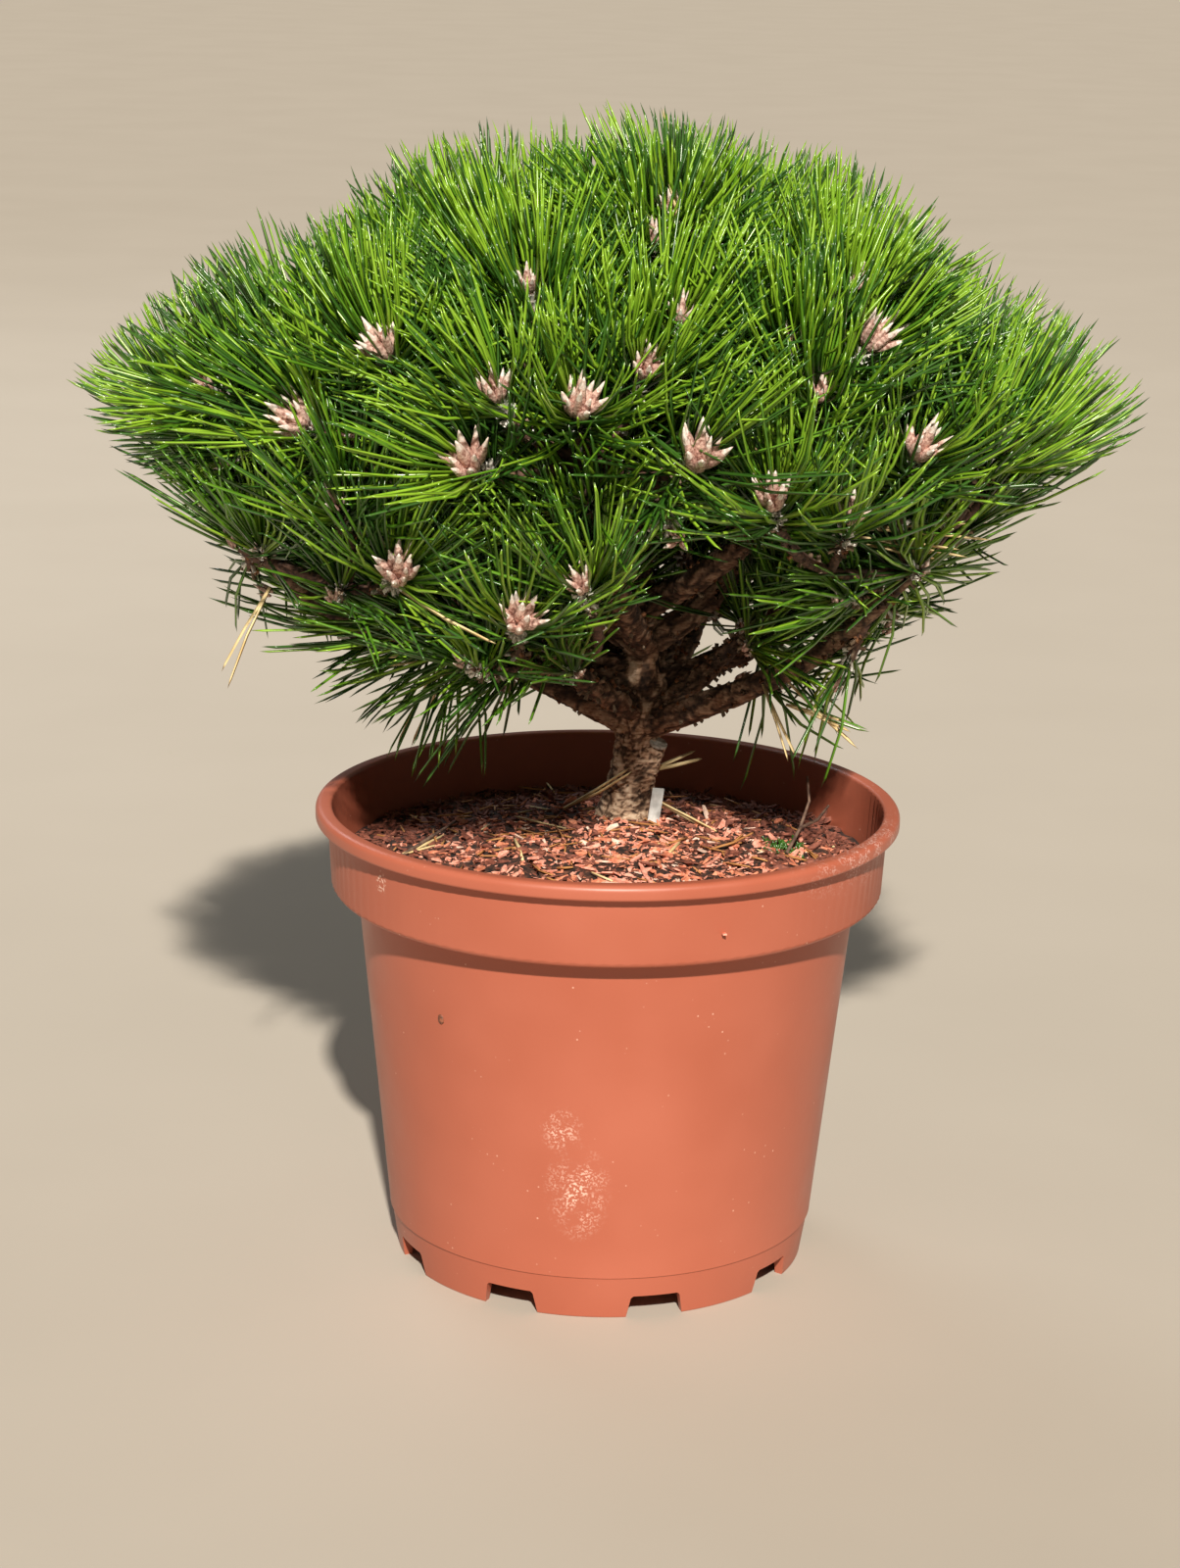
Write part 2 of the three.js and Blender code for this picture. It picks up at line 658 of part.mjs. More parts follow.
// The teeth of one spray, each shortened to the crown's reach and the mass's own space, or null
function fitTeeth(mass, shoot, spray, teeth) {
  const fitted = [-1, 0, 1].map((side) => {
    const tooth = { fan: side * radians(SPRAY_FAN), from: spray.from };
    const full = spray.length * (side === 0 ? 1 : OUTER_TOOTH);
    tooth.reach = full;
    tooth.to = toothTip(spray, tooth, full);
    while (tooth.reach > TRIM && (crownLevel(tooth.to) > 1 || roomAt(mass, tooth.to) < TRIM)) {
      tooth.reach -= TRIM;
      tooth.to = toothTip(spray, tooth, tooth.reach);
    }
    const clear = TWIG_RADIUS + TOOTH_WIDTH / 2;
    const alongside = mass.shoots.some((other) => (
      other !== shoot && approach(spray.from, tooth.to, other.at(0), other.at(1)).apart < clear
    ));
    const fits = tooth.reach > SHORTEST_NEEDLE * full
      && !alongside
      && !touchesLimb(spray.from, tooth.to, TOOTH_WIDTH / 2, null)
      && !crosses(spray.from, tooth.to, teeth);
    return fits ? tooth : null;
  });
  return fitted.every(Boolean) ? fitted : null;
}

// Sprays stand round a shoot by the golden turn, lying flatter along its older wood
function addSprays(mass, shoot, sprays) {
  const random = mass.random;
  const start = 1 - Math.min(NEEDLED_LENGTH / shoot.reach, NEEDLED_SHARE);
  const end = 1 - (BUD_CLEAR * BUD_LENGTH) / shoot.reach;
  let turn = random() * Math.PI * 2;
  let kept = 0;
  for (let i = 0; i < SPRAY_TRIES && kept < mass.ring.sprays; i += 1) {
    const up = ((i * SPRAY_STRIDE) % SPRAY_PLACES) / (SPRAY_PLACES - 1);
    const t = THREE.MathUtils.lerp(start, end, up);
    const axis = shoot.at(t + AXIS_STEP).sub(shoot.at(t - AXIS_STEP)).normalize();
    const side = new THREE.Vector3().crossVectors(axis, TURN_START).normalize();
    side.applyAxisAngle(axis, turn);
    turn += GOLDEN_TURN + TURN_JITTER * (random() - 0.5);
    const lean = radians(
      THREE.MathUtils.lerp(LEAN_OLD, LEAN_YOUNG, up) + LEAN_JITTER * (random() - 0.5),
    );
    const spray = {
      from: shoot.at(t),
      length: NEEDLE_LENGTH * (NEEDLE_LEAST + NEEDLE_RANGE * random()),
      way: axis.clone().multiplyScalar(Math.cos(lean)).addScaledVector(side, Math.sin(lean)),
      across: axis.clone().multiplyScalar(Math.sin(lean)).addScaledVector(side, -Math.cos(lean)),
    };
    spray.across.applyAxisAngle(spray.way, SPRAY_TWIST * (random() - 0.5));
    spray.teeth = fitTeeth(mass, shoot, spray, sprays.flatMap((one) => one.teeth));
    if (spray.teeth) {
      sprays.push(spray);
      kept += 1;
    }
  }
}

// The stem that a mass grows from: it carries on from its bough's tip, or leaves the trunk
function stemSolid(mass) {
  if (mass.bough) {
    const first = BOUGH_END + GAP / mass.fork.distanceTo(mass.route(0));
    const route = (t) => mass.route(THREE.MathUtils.lerp(first, 1, t));
    return limb(route, () => BOUGH_TIP_RADIUS, STEM_SIDES, STEM_STEPS);
  }
  if (mass.leave) {
    return limb(mass.route, () => BOUGH_TIP_RADIUS, STEM_SIDES, TRUNK_STEM_STEPS);
  }
  const start = trunkRoute(1).addScaledVector(UP, GAP);
  return limb((t) => start.clone().lerp(mass.fork, t), () => LEADER_TIP_RADIUS, STEM_SIDES, 1);
}

function makeFoliage(mass) {
  const pieces = [stemSolid(mass)];
  const sprays = [];
  const own = mass.bough ? mass.name : 'trunk';
  mass.shoots = mass.tips.map((tip) => shootRoute(mass, tip));
  for (const shoot of mass.shoots) {
    const line = stretches(shoot.at, () => BUD_RADIUS, 0, 1, SHOOT_CHECKS);
    const fits = line.every((stretch) => (
      roomAt(mass, stretch.b) > BUD_RADIUS + GAP
      && !touchesLimb(stretch.a, stretch.b, stretch.radius, own)
    ));
    if (fits) {
      addSprays(mass, shoot, sprays);
      pieces.push(shootSolid(shoot));
    }
  }
  pieces.push(...sprays.map(spraySolid));
  const whole = pieces.reduce((joined, piece) => joined.add(piece)).subtract(thickTrunk);
  addMesh(`foliage_${mass.name}`, largest(whole), FINISH.needles);
}

makePot();
makeCompost();
makeTrunk();
makeBoughs();
masses.forEach(makeFoliage);

export default part;
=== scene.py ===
# %% [markdown] # A dwarf Austrian pine in a nursery pot The CAD model of this plant is right in
# size and in build, but plain: its needles are broad blades and its bark is smooth. This lesson
# dresses it. The same seeded rule that laid out the CAD model's boughs and shoots runs again
# here, and is carried on to finer twigs, paired needles, buds and sheaths, so the fine plant
# grows inside the plain one. Its bounds are kept, to be printed beside the finished plant's at
# the end.

import math
from types import SimpleNamespace

import bmesh
import bpy
import numpy as np
from mathutils import Matrix, Vector, noise


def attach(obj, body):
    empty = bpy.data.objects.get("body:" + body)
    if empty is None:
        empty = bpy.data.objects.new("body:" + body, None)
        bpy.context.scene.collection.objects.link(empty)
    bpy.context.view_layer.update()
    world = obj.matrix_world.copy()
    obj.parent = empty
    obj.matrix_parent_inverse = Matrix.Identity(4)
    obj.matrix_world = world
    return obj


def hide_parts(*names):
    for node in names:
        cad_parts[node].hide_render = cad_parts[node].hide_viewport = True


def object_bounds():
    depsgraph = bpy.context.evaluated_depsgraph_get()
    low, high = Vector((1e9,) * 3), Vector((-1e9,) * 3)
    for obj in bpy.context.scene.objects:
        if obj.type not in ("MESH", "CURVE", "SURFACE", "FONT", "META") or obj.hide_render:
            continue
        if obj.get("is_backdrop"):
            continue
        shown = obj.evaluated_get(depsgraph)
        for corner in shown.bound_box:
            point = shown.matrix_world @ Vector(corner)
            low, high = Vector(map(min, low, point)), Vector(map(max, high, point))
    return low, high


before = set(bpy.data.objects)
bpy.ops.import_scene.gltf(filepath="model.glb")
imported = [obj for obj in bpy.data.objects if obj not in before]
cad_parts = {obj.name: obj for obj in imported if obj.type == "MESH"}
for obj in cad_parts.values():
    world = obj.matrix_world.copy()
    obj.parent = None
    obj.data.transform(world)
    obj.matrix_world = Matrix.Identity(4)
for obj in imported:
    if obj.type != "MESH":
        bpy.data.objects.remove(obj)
cad_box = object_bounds()
print("CAD box in metres:", [tuple(round(x, 4) for x in corner) for corner in cad_box])

# %% [markdown]
# Blender works in metres, and a plant is easier to think of in millimetres. Every piece here is
# drawn in millimetres and made smaller once, when it is finished. Its object then sits at the
# origin with nothing left on it, as the CAD nodes do.

# %% Finish a piece
MM = 0.001


def finish_piece(name, mesh, materials, replaced=()):
    """A mesh drawn in millimetres becomes a finished piece that rides on the plant."""
    mesh.name = name
    mesh.transform(Matrix.Scale(MM, 4))
    for material in materials:
        mesh.materials.append(material)
    piece = bpy.data.objects.new(name, mesh)
    bpy.context.scene.collection.objects.link(piece)
    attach(piece, "root")
    if replaced:
        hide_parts(*replaced)
    mesh.calc_loop_triangles()
    print(f"{name}: {len(mesh.loop_triangles)} triangles")


def mesh_of(shape, smooth=True):
    """A bmesh becomes a mesh, with its faces smooth or flat."""
    for face in shape.faces:
        face.smooth = smooth
    mesh = bpy.data.meshes.new("drawn")
    shape.to_mesh(mesh)
    shape.free()
    return mesh


# %% [markdown]
# ## Camera
#
# The camera was worked out from the ellipses of the pot's rim, seam and foot: it looks down on
# the plant by about fifteen degrees from 1.7 m away, and it is held very slightly askew. A long
# lens keeps the pot's sides almost parallel.

# %% Camera
CAMERA_PLACE = Vector((0, -1.701, 0.717))
CAMERA_PITCH = 0.2685
CAMERA_YAW = -0.0055
CAMERA_ROLL = 0.019
FOCAL_PIXELS = 3503
PICTURE_HEIGHT = 1600
SENSOR_HEIGHT = 36.0

forward = Vector((
    math.sin(CAMERA_YAW) * math.cos(CAMERA_PITCH),
    math.cos(CAMERA_YAW) * math.cos(CAMERA_PITCH),
    -math.sin(CAMERA_PITCH),
))
level_right = Vector((math.cos(CAMERA_YAW), -math.sin(CAMERA_YAW), 0))
level_up = level_right.cross(forward)
right = level_right * math.cos(CAMERA_ROLL) + level_up * math.sin(CAMERA_ROLL)
up = level_up * math.cos(CAMERA_ROLL) - level_right * math.sin(CAMERA_ROLL)
turned = Matrix((right, up, -forward)).transposed().to_4x4()

lens = bpy.data.cameras.new("camera")
lens.sensor_fit = "VERTICAL"
lens.sensor_height = SENSOR_HEIGHT
lens.lens = FOCAL_PIXELS / PICTURE_HEIGHT * SENSOR_HEIGHT
camera = bpy.data.objects.new("camera", lens)
camera.matrix_world = Matrix.Translation(CAMERA_PLACE) @ turned
bpy.context.scene.collection.objects.link(camera)
bpy.context.scene.camera = camera
print("lens in millimetres:", round(lens.lens, 1))

# %% [markdown]
# ## Finishes
#
# Each finish is a small tree of nodes that reads the piece's own Object coordinates, so a pattern
# stays where it is from every side. A few helpers keep the trees short: the first places a node
# and fills or links its sockets, another turns a grey pattern into colours.

# %% Helpers for finishes
MOTTLED_FROM, MOTTLED_TO = 0.35, 0.65


def place(tree, kind, inputs, **settings):
    """Adds a node. A socket given as an input is linked, and any other value is set."""
    made = tree.nodes.new(kind)
    for key, value in settings.items():
        setattr(made, key, value)
    for key, value in inputs.items():
        if isinstance(value, bpy.types.NodeSocket):
            tree.links.new(value, made.inputs[key])
        else:
            made.inputs[key].default_value = value
    return made


def colour_ramp(tree, pattern, stops):
    """Turns a grey pattern into colours. Each stop is a place from 0 to 1 and a colour."""
    ramp = place(tree, "ShaderNodeValToRGB", {"Fac": pattern})
    stretch = ramp.color_ramp.elements
    while len(stretch) < len(stops):
        stretch.new(0.5)
    for element, (position, colour) in zip(stretch, stops):
        element.position = position
        element.color = (*colour, 1)
    return ramp.outputs["Color"]


def grey(value):
    """A colour without hue, for a mask."""
    return (value, value, value)


def mixed(tree, share, first, second):
    """The first colour where the share is 0, and the second where it is 1."""
    mix = place(tree, "ShaderNodeMix", {0: share, 6: first, 7: second}, data_type="RGBA")
    return mix.outputs[2]


def own_coordinates(tree):
    """The piece's own coordinates, in metres."""
    return place(tree, "ShaderNodeTexCoord", {}).outputs["Object"]


def noise_pattern(tree, size, detail=3.0, stretch=(1, 1, 1)):
    """Soft noise whose patches are about the given size, in millimetres."""
    stretched = place(tree, "ShaderNodeMapping", {
        "Vector": own_coordinates(tree), "Scale": stretch,
    })
    return place(tree, "ShaderNodeTexNoise", {
        "Vector": stretched.outputs["Vector"], "Scale": 1 / (size * MM), "Detail": detail,
    }).outputs["Fac"]


def new_finish(name, roughness):
    """A new material with its tree of nodes and its shader."""
    material = bpy.data.materials.new(name)
    material.use_nodes = True
    shader = material.node_tree.nodes["Principled BSDF"]
    shader.inputs["Roughness"].default_value = roughness
    return material, material.node_tree, shader


def add_bump(tree, shader, pattern, height, strength=1.0):
    """Lets a grey pattern stand out by the given height, in millimetres."""
    bump = place(tree, "ShaderNodeBump", {
        "Height": pattern, "Distance": height * MM, "Strength": strength,
    })
    tree.links.new(bump.outputs["Normal"], shader.inputs["Normal"])


def mottled(name, dark, light, size, roughness, bump=0.0):
    """A finish of two near colours in soft patches, with a fine bump of the same size."""
    material, tree, shader = new_finish(name, roughness)
    pattern = noise_pattern(tree, size)
    base = colour_ramp(tree, pattern, [(MOTTLED_FROM, dark), (MOTTLED_TO, light)])
    tree.links.new(base, shader.inputs["Base Color"])
    if bump:
        add_bump(tree, shader, pattern, bump)
    return material


# %% [markdown]
# ## The pot
#
# A nursery pot is blow-moulded or injected plastic: a deep collar under a rolled bead, a tapering
# body, a moulded seam low down, and a foot ring with slots that let water out. It is a turned
# shape, so one outline is spun about the upright axis. A cylinder with loop cuts would do for the
# body, but spinning keeps the bead, the collar's rounded lower edge and the seam in one outline.
# The numbers are those of the CAD model.

# %% Pot outline
POT_HEIGHT = 240
RIM_RADIUS = 150
BEAD_RADIUS = 3.9
BEAD_CORNERS = (1.6, 3.2)
LIP_CORNER = 2
COLLAR_TOP_RADIUS = 143.8
COLLAR_BOTTOM_RADIUS = 141.4
COLLAR_BOTTOM = 196
COLLAR_CORNER = 3.2
BODY_TOP_RADIUS = 128.5
BODY_STEPS = 8
SEAM_HEIGHT = 23.4
SEAM_RADIUS = 111.1
SEAM_STEP = 0.9
FOOT_RADIUS = 106.7
FOOT_WIDTH = 4.4
FOOT_EDGE = 0.6
WALL = 2.3
FLOOR_UNDERSIDE = 13
FLOOR_TOP = 15.6


def arc(radius, height, size, start, end, steps):
    """Points on an arc round a place in the outline, from one angle in degrees to another."""
    angles = [math.radians(start + (end - start) * i / steps) for i in range(steps + 1)]
    return [(radius + size * math.cos(a), height + size * math.sin(a)) for a in angles]


bead_bottom = POT_HEIGHT - 2 * BEAD_RADIUS
pot_outline = [
    (0, FLOOR_UNDERSIDE),
    (FOOT_RADIUS - FOOT_WIDTH, FLOOR_UNDERSIDE),
    *arc(FOOT_RADIUS - FOOT_WIDTH + FOOT_EDGE, FOOT_EDGE, FOOT_EDGE, 180, 270, 3),
    *arc(FOOT_RADIUS - FOOT_EDGE, FOOT_EDGE, FOOT_EDGE, 270, 360, 3),
    (SEAM_RADIUS - SEAM_STEP, SEAM_HEIGHT - SEAM_STEP),
    (SEAM_RADIUS, SEAM_HEIGHT - SEAM_STEP / 3),
    (SEAM_RADIUS, SEAM_HEIGHT + SEAM_STEP / 3),
    *[(SEAM_RADIUS + (BODY_TOP_RADIUS - SEAM_RADIUS) * i / BODY_STEPS,
       SEAM_HEIGHT + (COLLAR_BOTTOM - SEAM_HEIGHT) * i / BODY_STEPS) for i in range(1, BODY_STEPS)],
    (BODY_TOP_RADIUS, COLLAR_BOTTOM),
    *arc(COLLAR_BOTTOM_RADIUS - COLLAR_CORNER, COLLAR_BOTTOM + COLLAR_CORNER, COLLAR_CORNER,
         -90, 0, 8),
    (COLLAR_TOP_RADIUS, bead_bottom),
    *arc(RIM_RADIUS - BEAD_CORNERS[0], bead_bottom + BEAD_CORNERS[0], BEAD_CORNERS[0], -90, 0, 6),
    *arc(RIM_RADIUS - BEAD_CORNERS[1], POT_HEIGHT - BEAD_CORNERS[1], BEAD_CORNERS[1], 0, 90, 8),
    *arc(COLLAR_TOP_RADIUS - WALL + LIP_CORNER, POT_HEIGHT - LIP_CORNER, LIP_CORNER, 90, 180, 4),
    (COLLAR_BOTTOM_RADIUS - WALL, COLLAR_BOTTOM + COLLAR_CORNER),
    (COLLAR_BOTTOM_RADIUS - COLLAR_CORNER, COLLAR_BOTTOM + WALL),
    (BODY_TOP_RADIUS - WALL, COLLAR_BOTTOM + WALL),
    (SEAM_RADIUS - WALL, FLOOR_TOP),
    (0, FLOOR_TOP),
]
print("points in the pot's outline:", len(pot_outline))

# %% [markdown]
# The outline is spun in steps enough that the rim's edge looks round. Fine upright ribs run round
# the inside of the collar, where the mould was grooved to let the pot slide off: every second
# step is pushed in by half a millimetre.

# %% Spin the pot
POT_STEPS = 240
RIB_DEPTH = 0.5
RIB_TOP = POT_HEIGHT - 1


def spun(outline, steps):
    """Spins an outline of (radius, height) points into a closed shape."""
    shape = bmesh.new()
    points = [shape.verts.new((radius, 0, height)) for radius, height in outline]
    lines = [shape.edges.new(pair) for pair in zip(points, points[1:])]
    bmesh.ops.spin(shape, geom=points + lines, cent=(0, 0, 0), axis=(0, 0, 1), dvec=(0, 0, 0),
                   angle=2 * math.pi, steps=steps, use_merge=True, use_duplicate=False)
    bmesh.ops.remove_doubles(shape, verts=shape.verts, dist=1e-3)
    bmesh.ops.recalc_face_normals(shape, faces=shape.faces)
    return shape


pot_shape = spun(pot_outline, POT_STEPS)
for vert in pot_shape.verts:
    radius = math.hypot(vert.co.x, vert.co.y)
    inside = COLLAR_BOTTOM_RADIUS - WALL - 1 < radius < COLLAR_TOP_RADIUS - WALL + 0.1
    if inside and COLLAR_BOTTOM + WALL < vert.co.z < RIB_TOP:
        angle = math.atan2(vert.co.y, vert.co.x)
        groove = RIB_DEPTH * math.cos(POT_STEPS / 2 * angle)
        vert.co.x -= groove * math.cos(angle)
        vert.co.y -= groove * math.sin(angle)
print("pot faces before the slots:", len(pot_shape.faces))

# %% [markdown]
# Nine slots part the foot ring, and six round holes drain the floor. Both are cut with one
# Boolean: a cutter holds a prism for each slot, with its upper corners cut off, and a cylinder
# for each hole.

# %% Cut the slots and holes
FOOT_COUNT = 9
FOOT_TURN = -94.4
SLOT_ANGLE = 16
SLOT_HEIGHT = 12
SLOT_TAPER = 0.86
SLOT_CORNER = 1.2
SLOT_INWARD = 14
SLOT_OUTWARD = 10
DRAIN_COUNT = 6
DRAIN_RADIUS = 6
DRAIN_CIRCLE = 90
DRAIN_CUT = 8
SHARP_DEGREES = 35


def add_slot(shape, azimuth):
    """One slot's prism, drawn across the foot ring and turned to its place."""
    half = FOOT_RADIUS * math.sin(math.radians(SLOT_ANGLE / 2))
    top = half * SLOT_TAPER
    outline = [(-half, -1), (half, -1), (top, SLOT_HEIGHT - SLOT_CORNER),
               (top - SLOT_CORNER, SLOT_HEIGHT), (SLOT_CORNER - top, SLOT_HEIGHT),
               (-top, SLOT_HEIGHT - SLOT_CORNER)]
    face = shape.faces.new([shape.verts.new((FOOT_RADIUS - SLOT_INWARD, x, z)) for x, z in outline])
    pushed = bmesh.ops.extrude_face_region(shape, geom=[face])["geom"]
    moved = [item for item in pushed if isinstance(item, bmesh.types.BMVert)]
    bmesh.ops.translate(shape, verts=moved, vec=(SLOT_INWARD + SLOT_OUTWARD, 0, 0))
    bmesh.ops.rotate(shape, verts=list(face.verts) + moved, cent=(0, 0, 0),
                     matrix=Matrix.Rotation(azimuth, 3, "Z"))


def evaluated(drawn, *modifiers):
    """A mesh or curve as a new mesh, with modifiers applied, each a kind and its settings."""
    holder = bpy.data.objects.new("holder", drawn)
    bpy.context.scene.collection.objects.link(holder)
    for kind, settings in modifiers:
        modifier = holder.modifiers.new(kind, kind)
        for key, value in settings.items():
            setattr(modifier, key, value)
    graph = bpy.context.evaluated_depsgraph_get()
    made = bpy.data.meshes.new_from_object(holder.evaluated_get(graph))
    bpy.data.objects.remove(holder)
    return made


cutter_shape = bmesh.new()
for i in range(FOOT_COUNT):
    add_slot(cutter_shape, math.radians(FOOT_TURN + 360 * (i + 0.5) / FOOT_COUNT))
for i in range(DRAIN_COUNT):
    turn = Matrix.Rotation(math.radians(FOOT_TURN + 360 * i / DRAIN_COUNT), 4, "Z")
    bmesh.ops.create_cone(cutter_shape, cap_ends=True, segments=24, radius1=DRAIN_RADIUS,
                          radius2=DRAIN_RADIUS, depth=DRAIN_CUT,
                          matrix=turn @ Matrix.Translation((DRAIN_CIRCLE, 0, FLOOR_TOP - 1)))
bmesh.ops.recalc_face_normals(cutter_shape, faces=cutter_shape.faces)
cutter = bpy.data.objects.new("cutter", mesh_of(cutter_shape, smooth=False))
bpy.context.scene.collection.objects.link(cutter)
pot_mesh = evaluated(mesh_of(pot_shape), ("BOOLEAN", {
    "operation": "DIFFERENCE", "solver": "EXACT", "object": cutter,
}))
bpy.data.objects.remove(cutter)
pot_mesh.set_sharp_from_angle(angle=math.radians(SHARP_DEGREES))
print("pot faces after the slots:", len(pot_mesh.polygons))

# %% [markdown]
# The plastic is a warm terracotta, a little uneven, with pale dust specks all over, a pale scuff
# low on the front and a chalky rub on the rim's right. A scuff has a place, so its mask is the
# distance from a point on the pot, broken up by fine noise. Gloss changes a little from patch to
# patch, as handling leaves it. For each mark the place and the reach are in metres, and the last
# three numbers stretch it.

# %% Terracotta plastic
SCUFF = ((-0.011, -0.114, 0.071), 0.023, (1.3, 1, 0.8))
SMALL_SCUFF = ((-0.020, -0.119, 0.105), 0.013, (1.1, 1, 0.9))
SCRATCH = ((-0.110, -0.0906, 0.2215), 0.006, (1.6, 1, 0.8))
RUB = ((0.128, -0.066, 0.238), 0.07, (1, 1, 3))
SCUFF_COLOUR = (0.80, 0.50, 0.40, 1)
RUB_COLOUR = (0.70, 0.40, 0.34, 1)
DUST_COLOUR = (0.80, 0.47, 0.36, 1)
SPECKS_A_METRE = 170.0


def near_place(tree, centre, reach, stretch):
    """A share that is 1 at a place in metres and falls to 0 at the given reach."""
    offset = place(tree, "ShaderNodeVectorMath", {0: own_coordinates(tree), 1: centre},
                   operation="SUBTRACT")
    scaled = place(tree, "ShaderNodeVectorMath", {0: offset.outputs[0], 1: stretch},
                   operation="MULTIPLY")
    away = place(tree, "ShaderNodeVectorMath", {0: scaled.outputs[0]}, operation="LENGTH")
    return place(tree, "ShaderNodeMapRange", {
        "Value": away.outputs["Value"], "From Min": 0.0, "From Max": reach,
        "To Min": 1.0, "To Max": 0.0,
    }).outputs["Result"]


def product(tree, first, second):
    """Two grey patterns multiplied."""
    return place(tree, "ShaderNodeMath", {0: first, 1: second}, operation="MULTIPLY").outputs[0]


def terracotta_plastic():
    """The pot's plastic, with its dust, scuffs, scratch and rub laid over one another."""
    material, tree, shader = new_finish("terracotta_plastic", 0.42)
    patches = noise_pattern(tree, 70, detail=2)
    base = colour_ramp(tree, patches, [(0.3, (0.42, 0.108, 0.059)), (0.7, (0.47, 0.130, 0.075))])
    dots = place(tree, "ShaderNodeTexVoronoi", {
        "Vector": own_coordinates(tree), "Scale": SPECKS_A_METRE,
    }).outputs["Distance"]
    specks = colour_ramp(tree, dots, [(0.05, grey(1)), (0.1, grey(0))])
    some = colour_ramp(tree, noise_pattern(tree, 22), [(0.52, grey(0)), (0.64, grey(0.8))])
    dusty = mixed(tree, product(tree, specks, some), base, DUST_COLOUR)
    fine = noise_pattern(tree, 1.2, detail=5)
    grain = colour_ramp(tree, fine, [(0.5, grey(0)), (0.6, grey(1))])
    coarse = noise_pattern(tree, 8, detail=5)
    patchy = colour_ramp(tree, coarse, [(0.42, grey(0)), (0.6, grey(1.4))])
    broken = product(tree, patchy, grain)
    line = colour_ramp(tree, noise_pattern(tree, 1.7), [(0.55, grey(0)), (0.58, grey(2))])
    worn = dusty
    for mark, pattern, colour in (
        (SCUFF, broken, SCUFF_COLOUR), (SMALL_SCUFF, broken, SCUFF_COLOUR),
        (SCRATCH, line, SCUFF_COLOUR), (RUB, broken, RUB_COLOUR),
    ):
        share = product(tree, near_place(tree, *mark), pattern)
        worn = mixed(tree, share, worn, colour)
    tree.links.new(worn, shader.inputs["Base Color"])
    gloss = colour_ramp(tree, noise_pattern(tree, 35), [(0.3, grey(0.36)), (0.7, grey(0.5))])
    tree.links.new(gloss, shader.inputs["Roughness"])
    add_bump(tree, shader, noise_pattern(tree, 3, detail=4), 0.05)
    return material


finish_piece("pot_shell", pot_mesh, [terracotta_plastic()], ["pot"])

# %% [markdown]
# A small pip of mud or moulding sticks to the pot's front left. It is a flattened ball pushed
# half into the wall.

# %% Pip on the pot
PIP_PLACE = (-80.3, -94.5, 152.8)
PIP_SIZE = (2.0, 1.0, 2.8)

pip_shape = bmesh.new()
bmesh.ops.create_icosphere(pip_shape, subdivisions=2, radius=1)
bmesh.ops.scale(pip_shape, verts=pip_shape.verts, vec=PIP_SIZE)
for vert in pip_shape.verts:
    vert.co.z += 0.6 * noise.noise(vert.co * 0.8)
bmesh.ops.rotate(pip_shape, verts=pip_shape.verts, cent=(0, 0, 0),
                 matrix=Matrix.Rotation(math.atan2(PIP_PLACE[0], -PIP_PLACE[1]), 3, "Z"))
bmesh.ops.translate(pip_shape, verts=pip_shape.verts, vec=PIP_PLACE)
pip_finish = mottled("mud", (0.10, 0.035, 0.02), (0.30, 0.10, 0.05), 1.5, 0.6, bump=0.1)
finish_piece("mud_pip", mesh_of(pip_shape), [pip_finish])

# %% [markdown]
# ## The compost
#
# The pot is filled with bark compost in a low mound. Its surface is never flat: it is spun from
# the CAD model's outline in close rings, then each point of the top is moved up or down by noise.
# One function gives the height of the ground anywhere, so chips, needles and the trunk can be set
# on it later.

# %% Compost bed
COMPOST_GAP = 0.3
COMPOST_EDGE = 209
COMPOST_FOOT = 5
MOUND_HEIGHT = 222.6
MOUND_RADIUS = 62
COMPOST_STEPS = 180
COMPOST_RINGS = 60
LUMP_SIZES = ((19, 0, 2.4), (6, 30, 1.3), (2.6, 60, 0.7))

COMPOST_RADIUS = COLLAR_BOTTOM_RADIUS - WALL - COMPOST_GAP - RIB_DEPTH


def ground_height(x, y):
    """Height of the compost's surface at a place, all in millimetres."""
    radius = math.hypot(x, y)
    middle = (MOUND_RADIUS + COLLAR_BOTTOM_RADIUS) / 2
    if radius > middle:
        share = (radius - middle) / (COMPOST_RADIUS - middle)
        smooth = COMPOST_EDGE + COMPOST_FOOT * (1 - share)
    else:
        share = max(0.0, (radius - MOUND_RADIUS) / (middle - MOUND_RADIUS))
        smooth = MOUND_HEIGHT + (COMPOST_EDGE + COMPOST_FOOT - MOUND_HEIGHT) * share
    for size, layer, height in LUMP_SIZES:
        smooth += noise.noise(Vector((x, y, layer)) / size) * height
    return smooth


compost_outline = [
    (0, FLOOR_TOP + COMPOST_GAP),
    (SEAM_RADIUS - WALL - 1, FLOOR_TOP + COMPOST_GAP),
    (BODY_TOP_RADIUS - WALL - COMPOST_GAP, COLLAR_BOTTOM + WALL + COMPOST_GAP),
    (COLLAR_BOTTOM_RADIUS - COLLAR_CORNER - 1, COLLAR_BOTTOM + WALL + COMPOST_GAP),
    (COMPOST_RADIUS - 0.5, COLLAR_BOTTOM + COLLAR_CORNER),
    *[(COMPOST_RADIUS * (1 - i / COMPOST_RINGS), MOUND_HEIGHT) for i in range(COMPOST_RINGS)],
    (0, MOUND_HEIGHT),
]
compost_shape = spun(compost_outline, COMPOST_STEPS)
for vert in compost_shape.verts:
    if vert.co.z > MOUND_HEIGHT - 1:
        vert.co.z = ground_height(vert.co.x, vert.co.y)

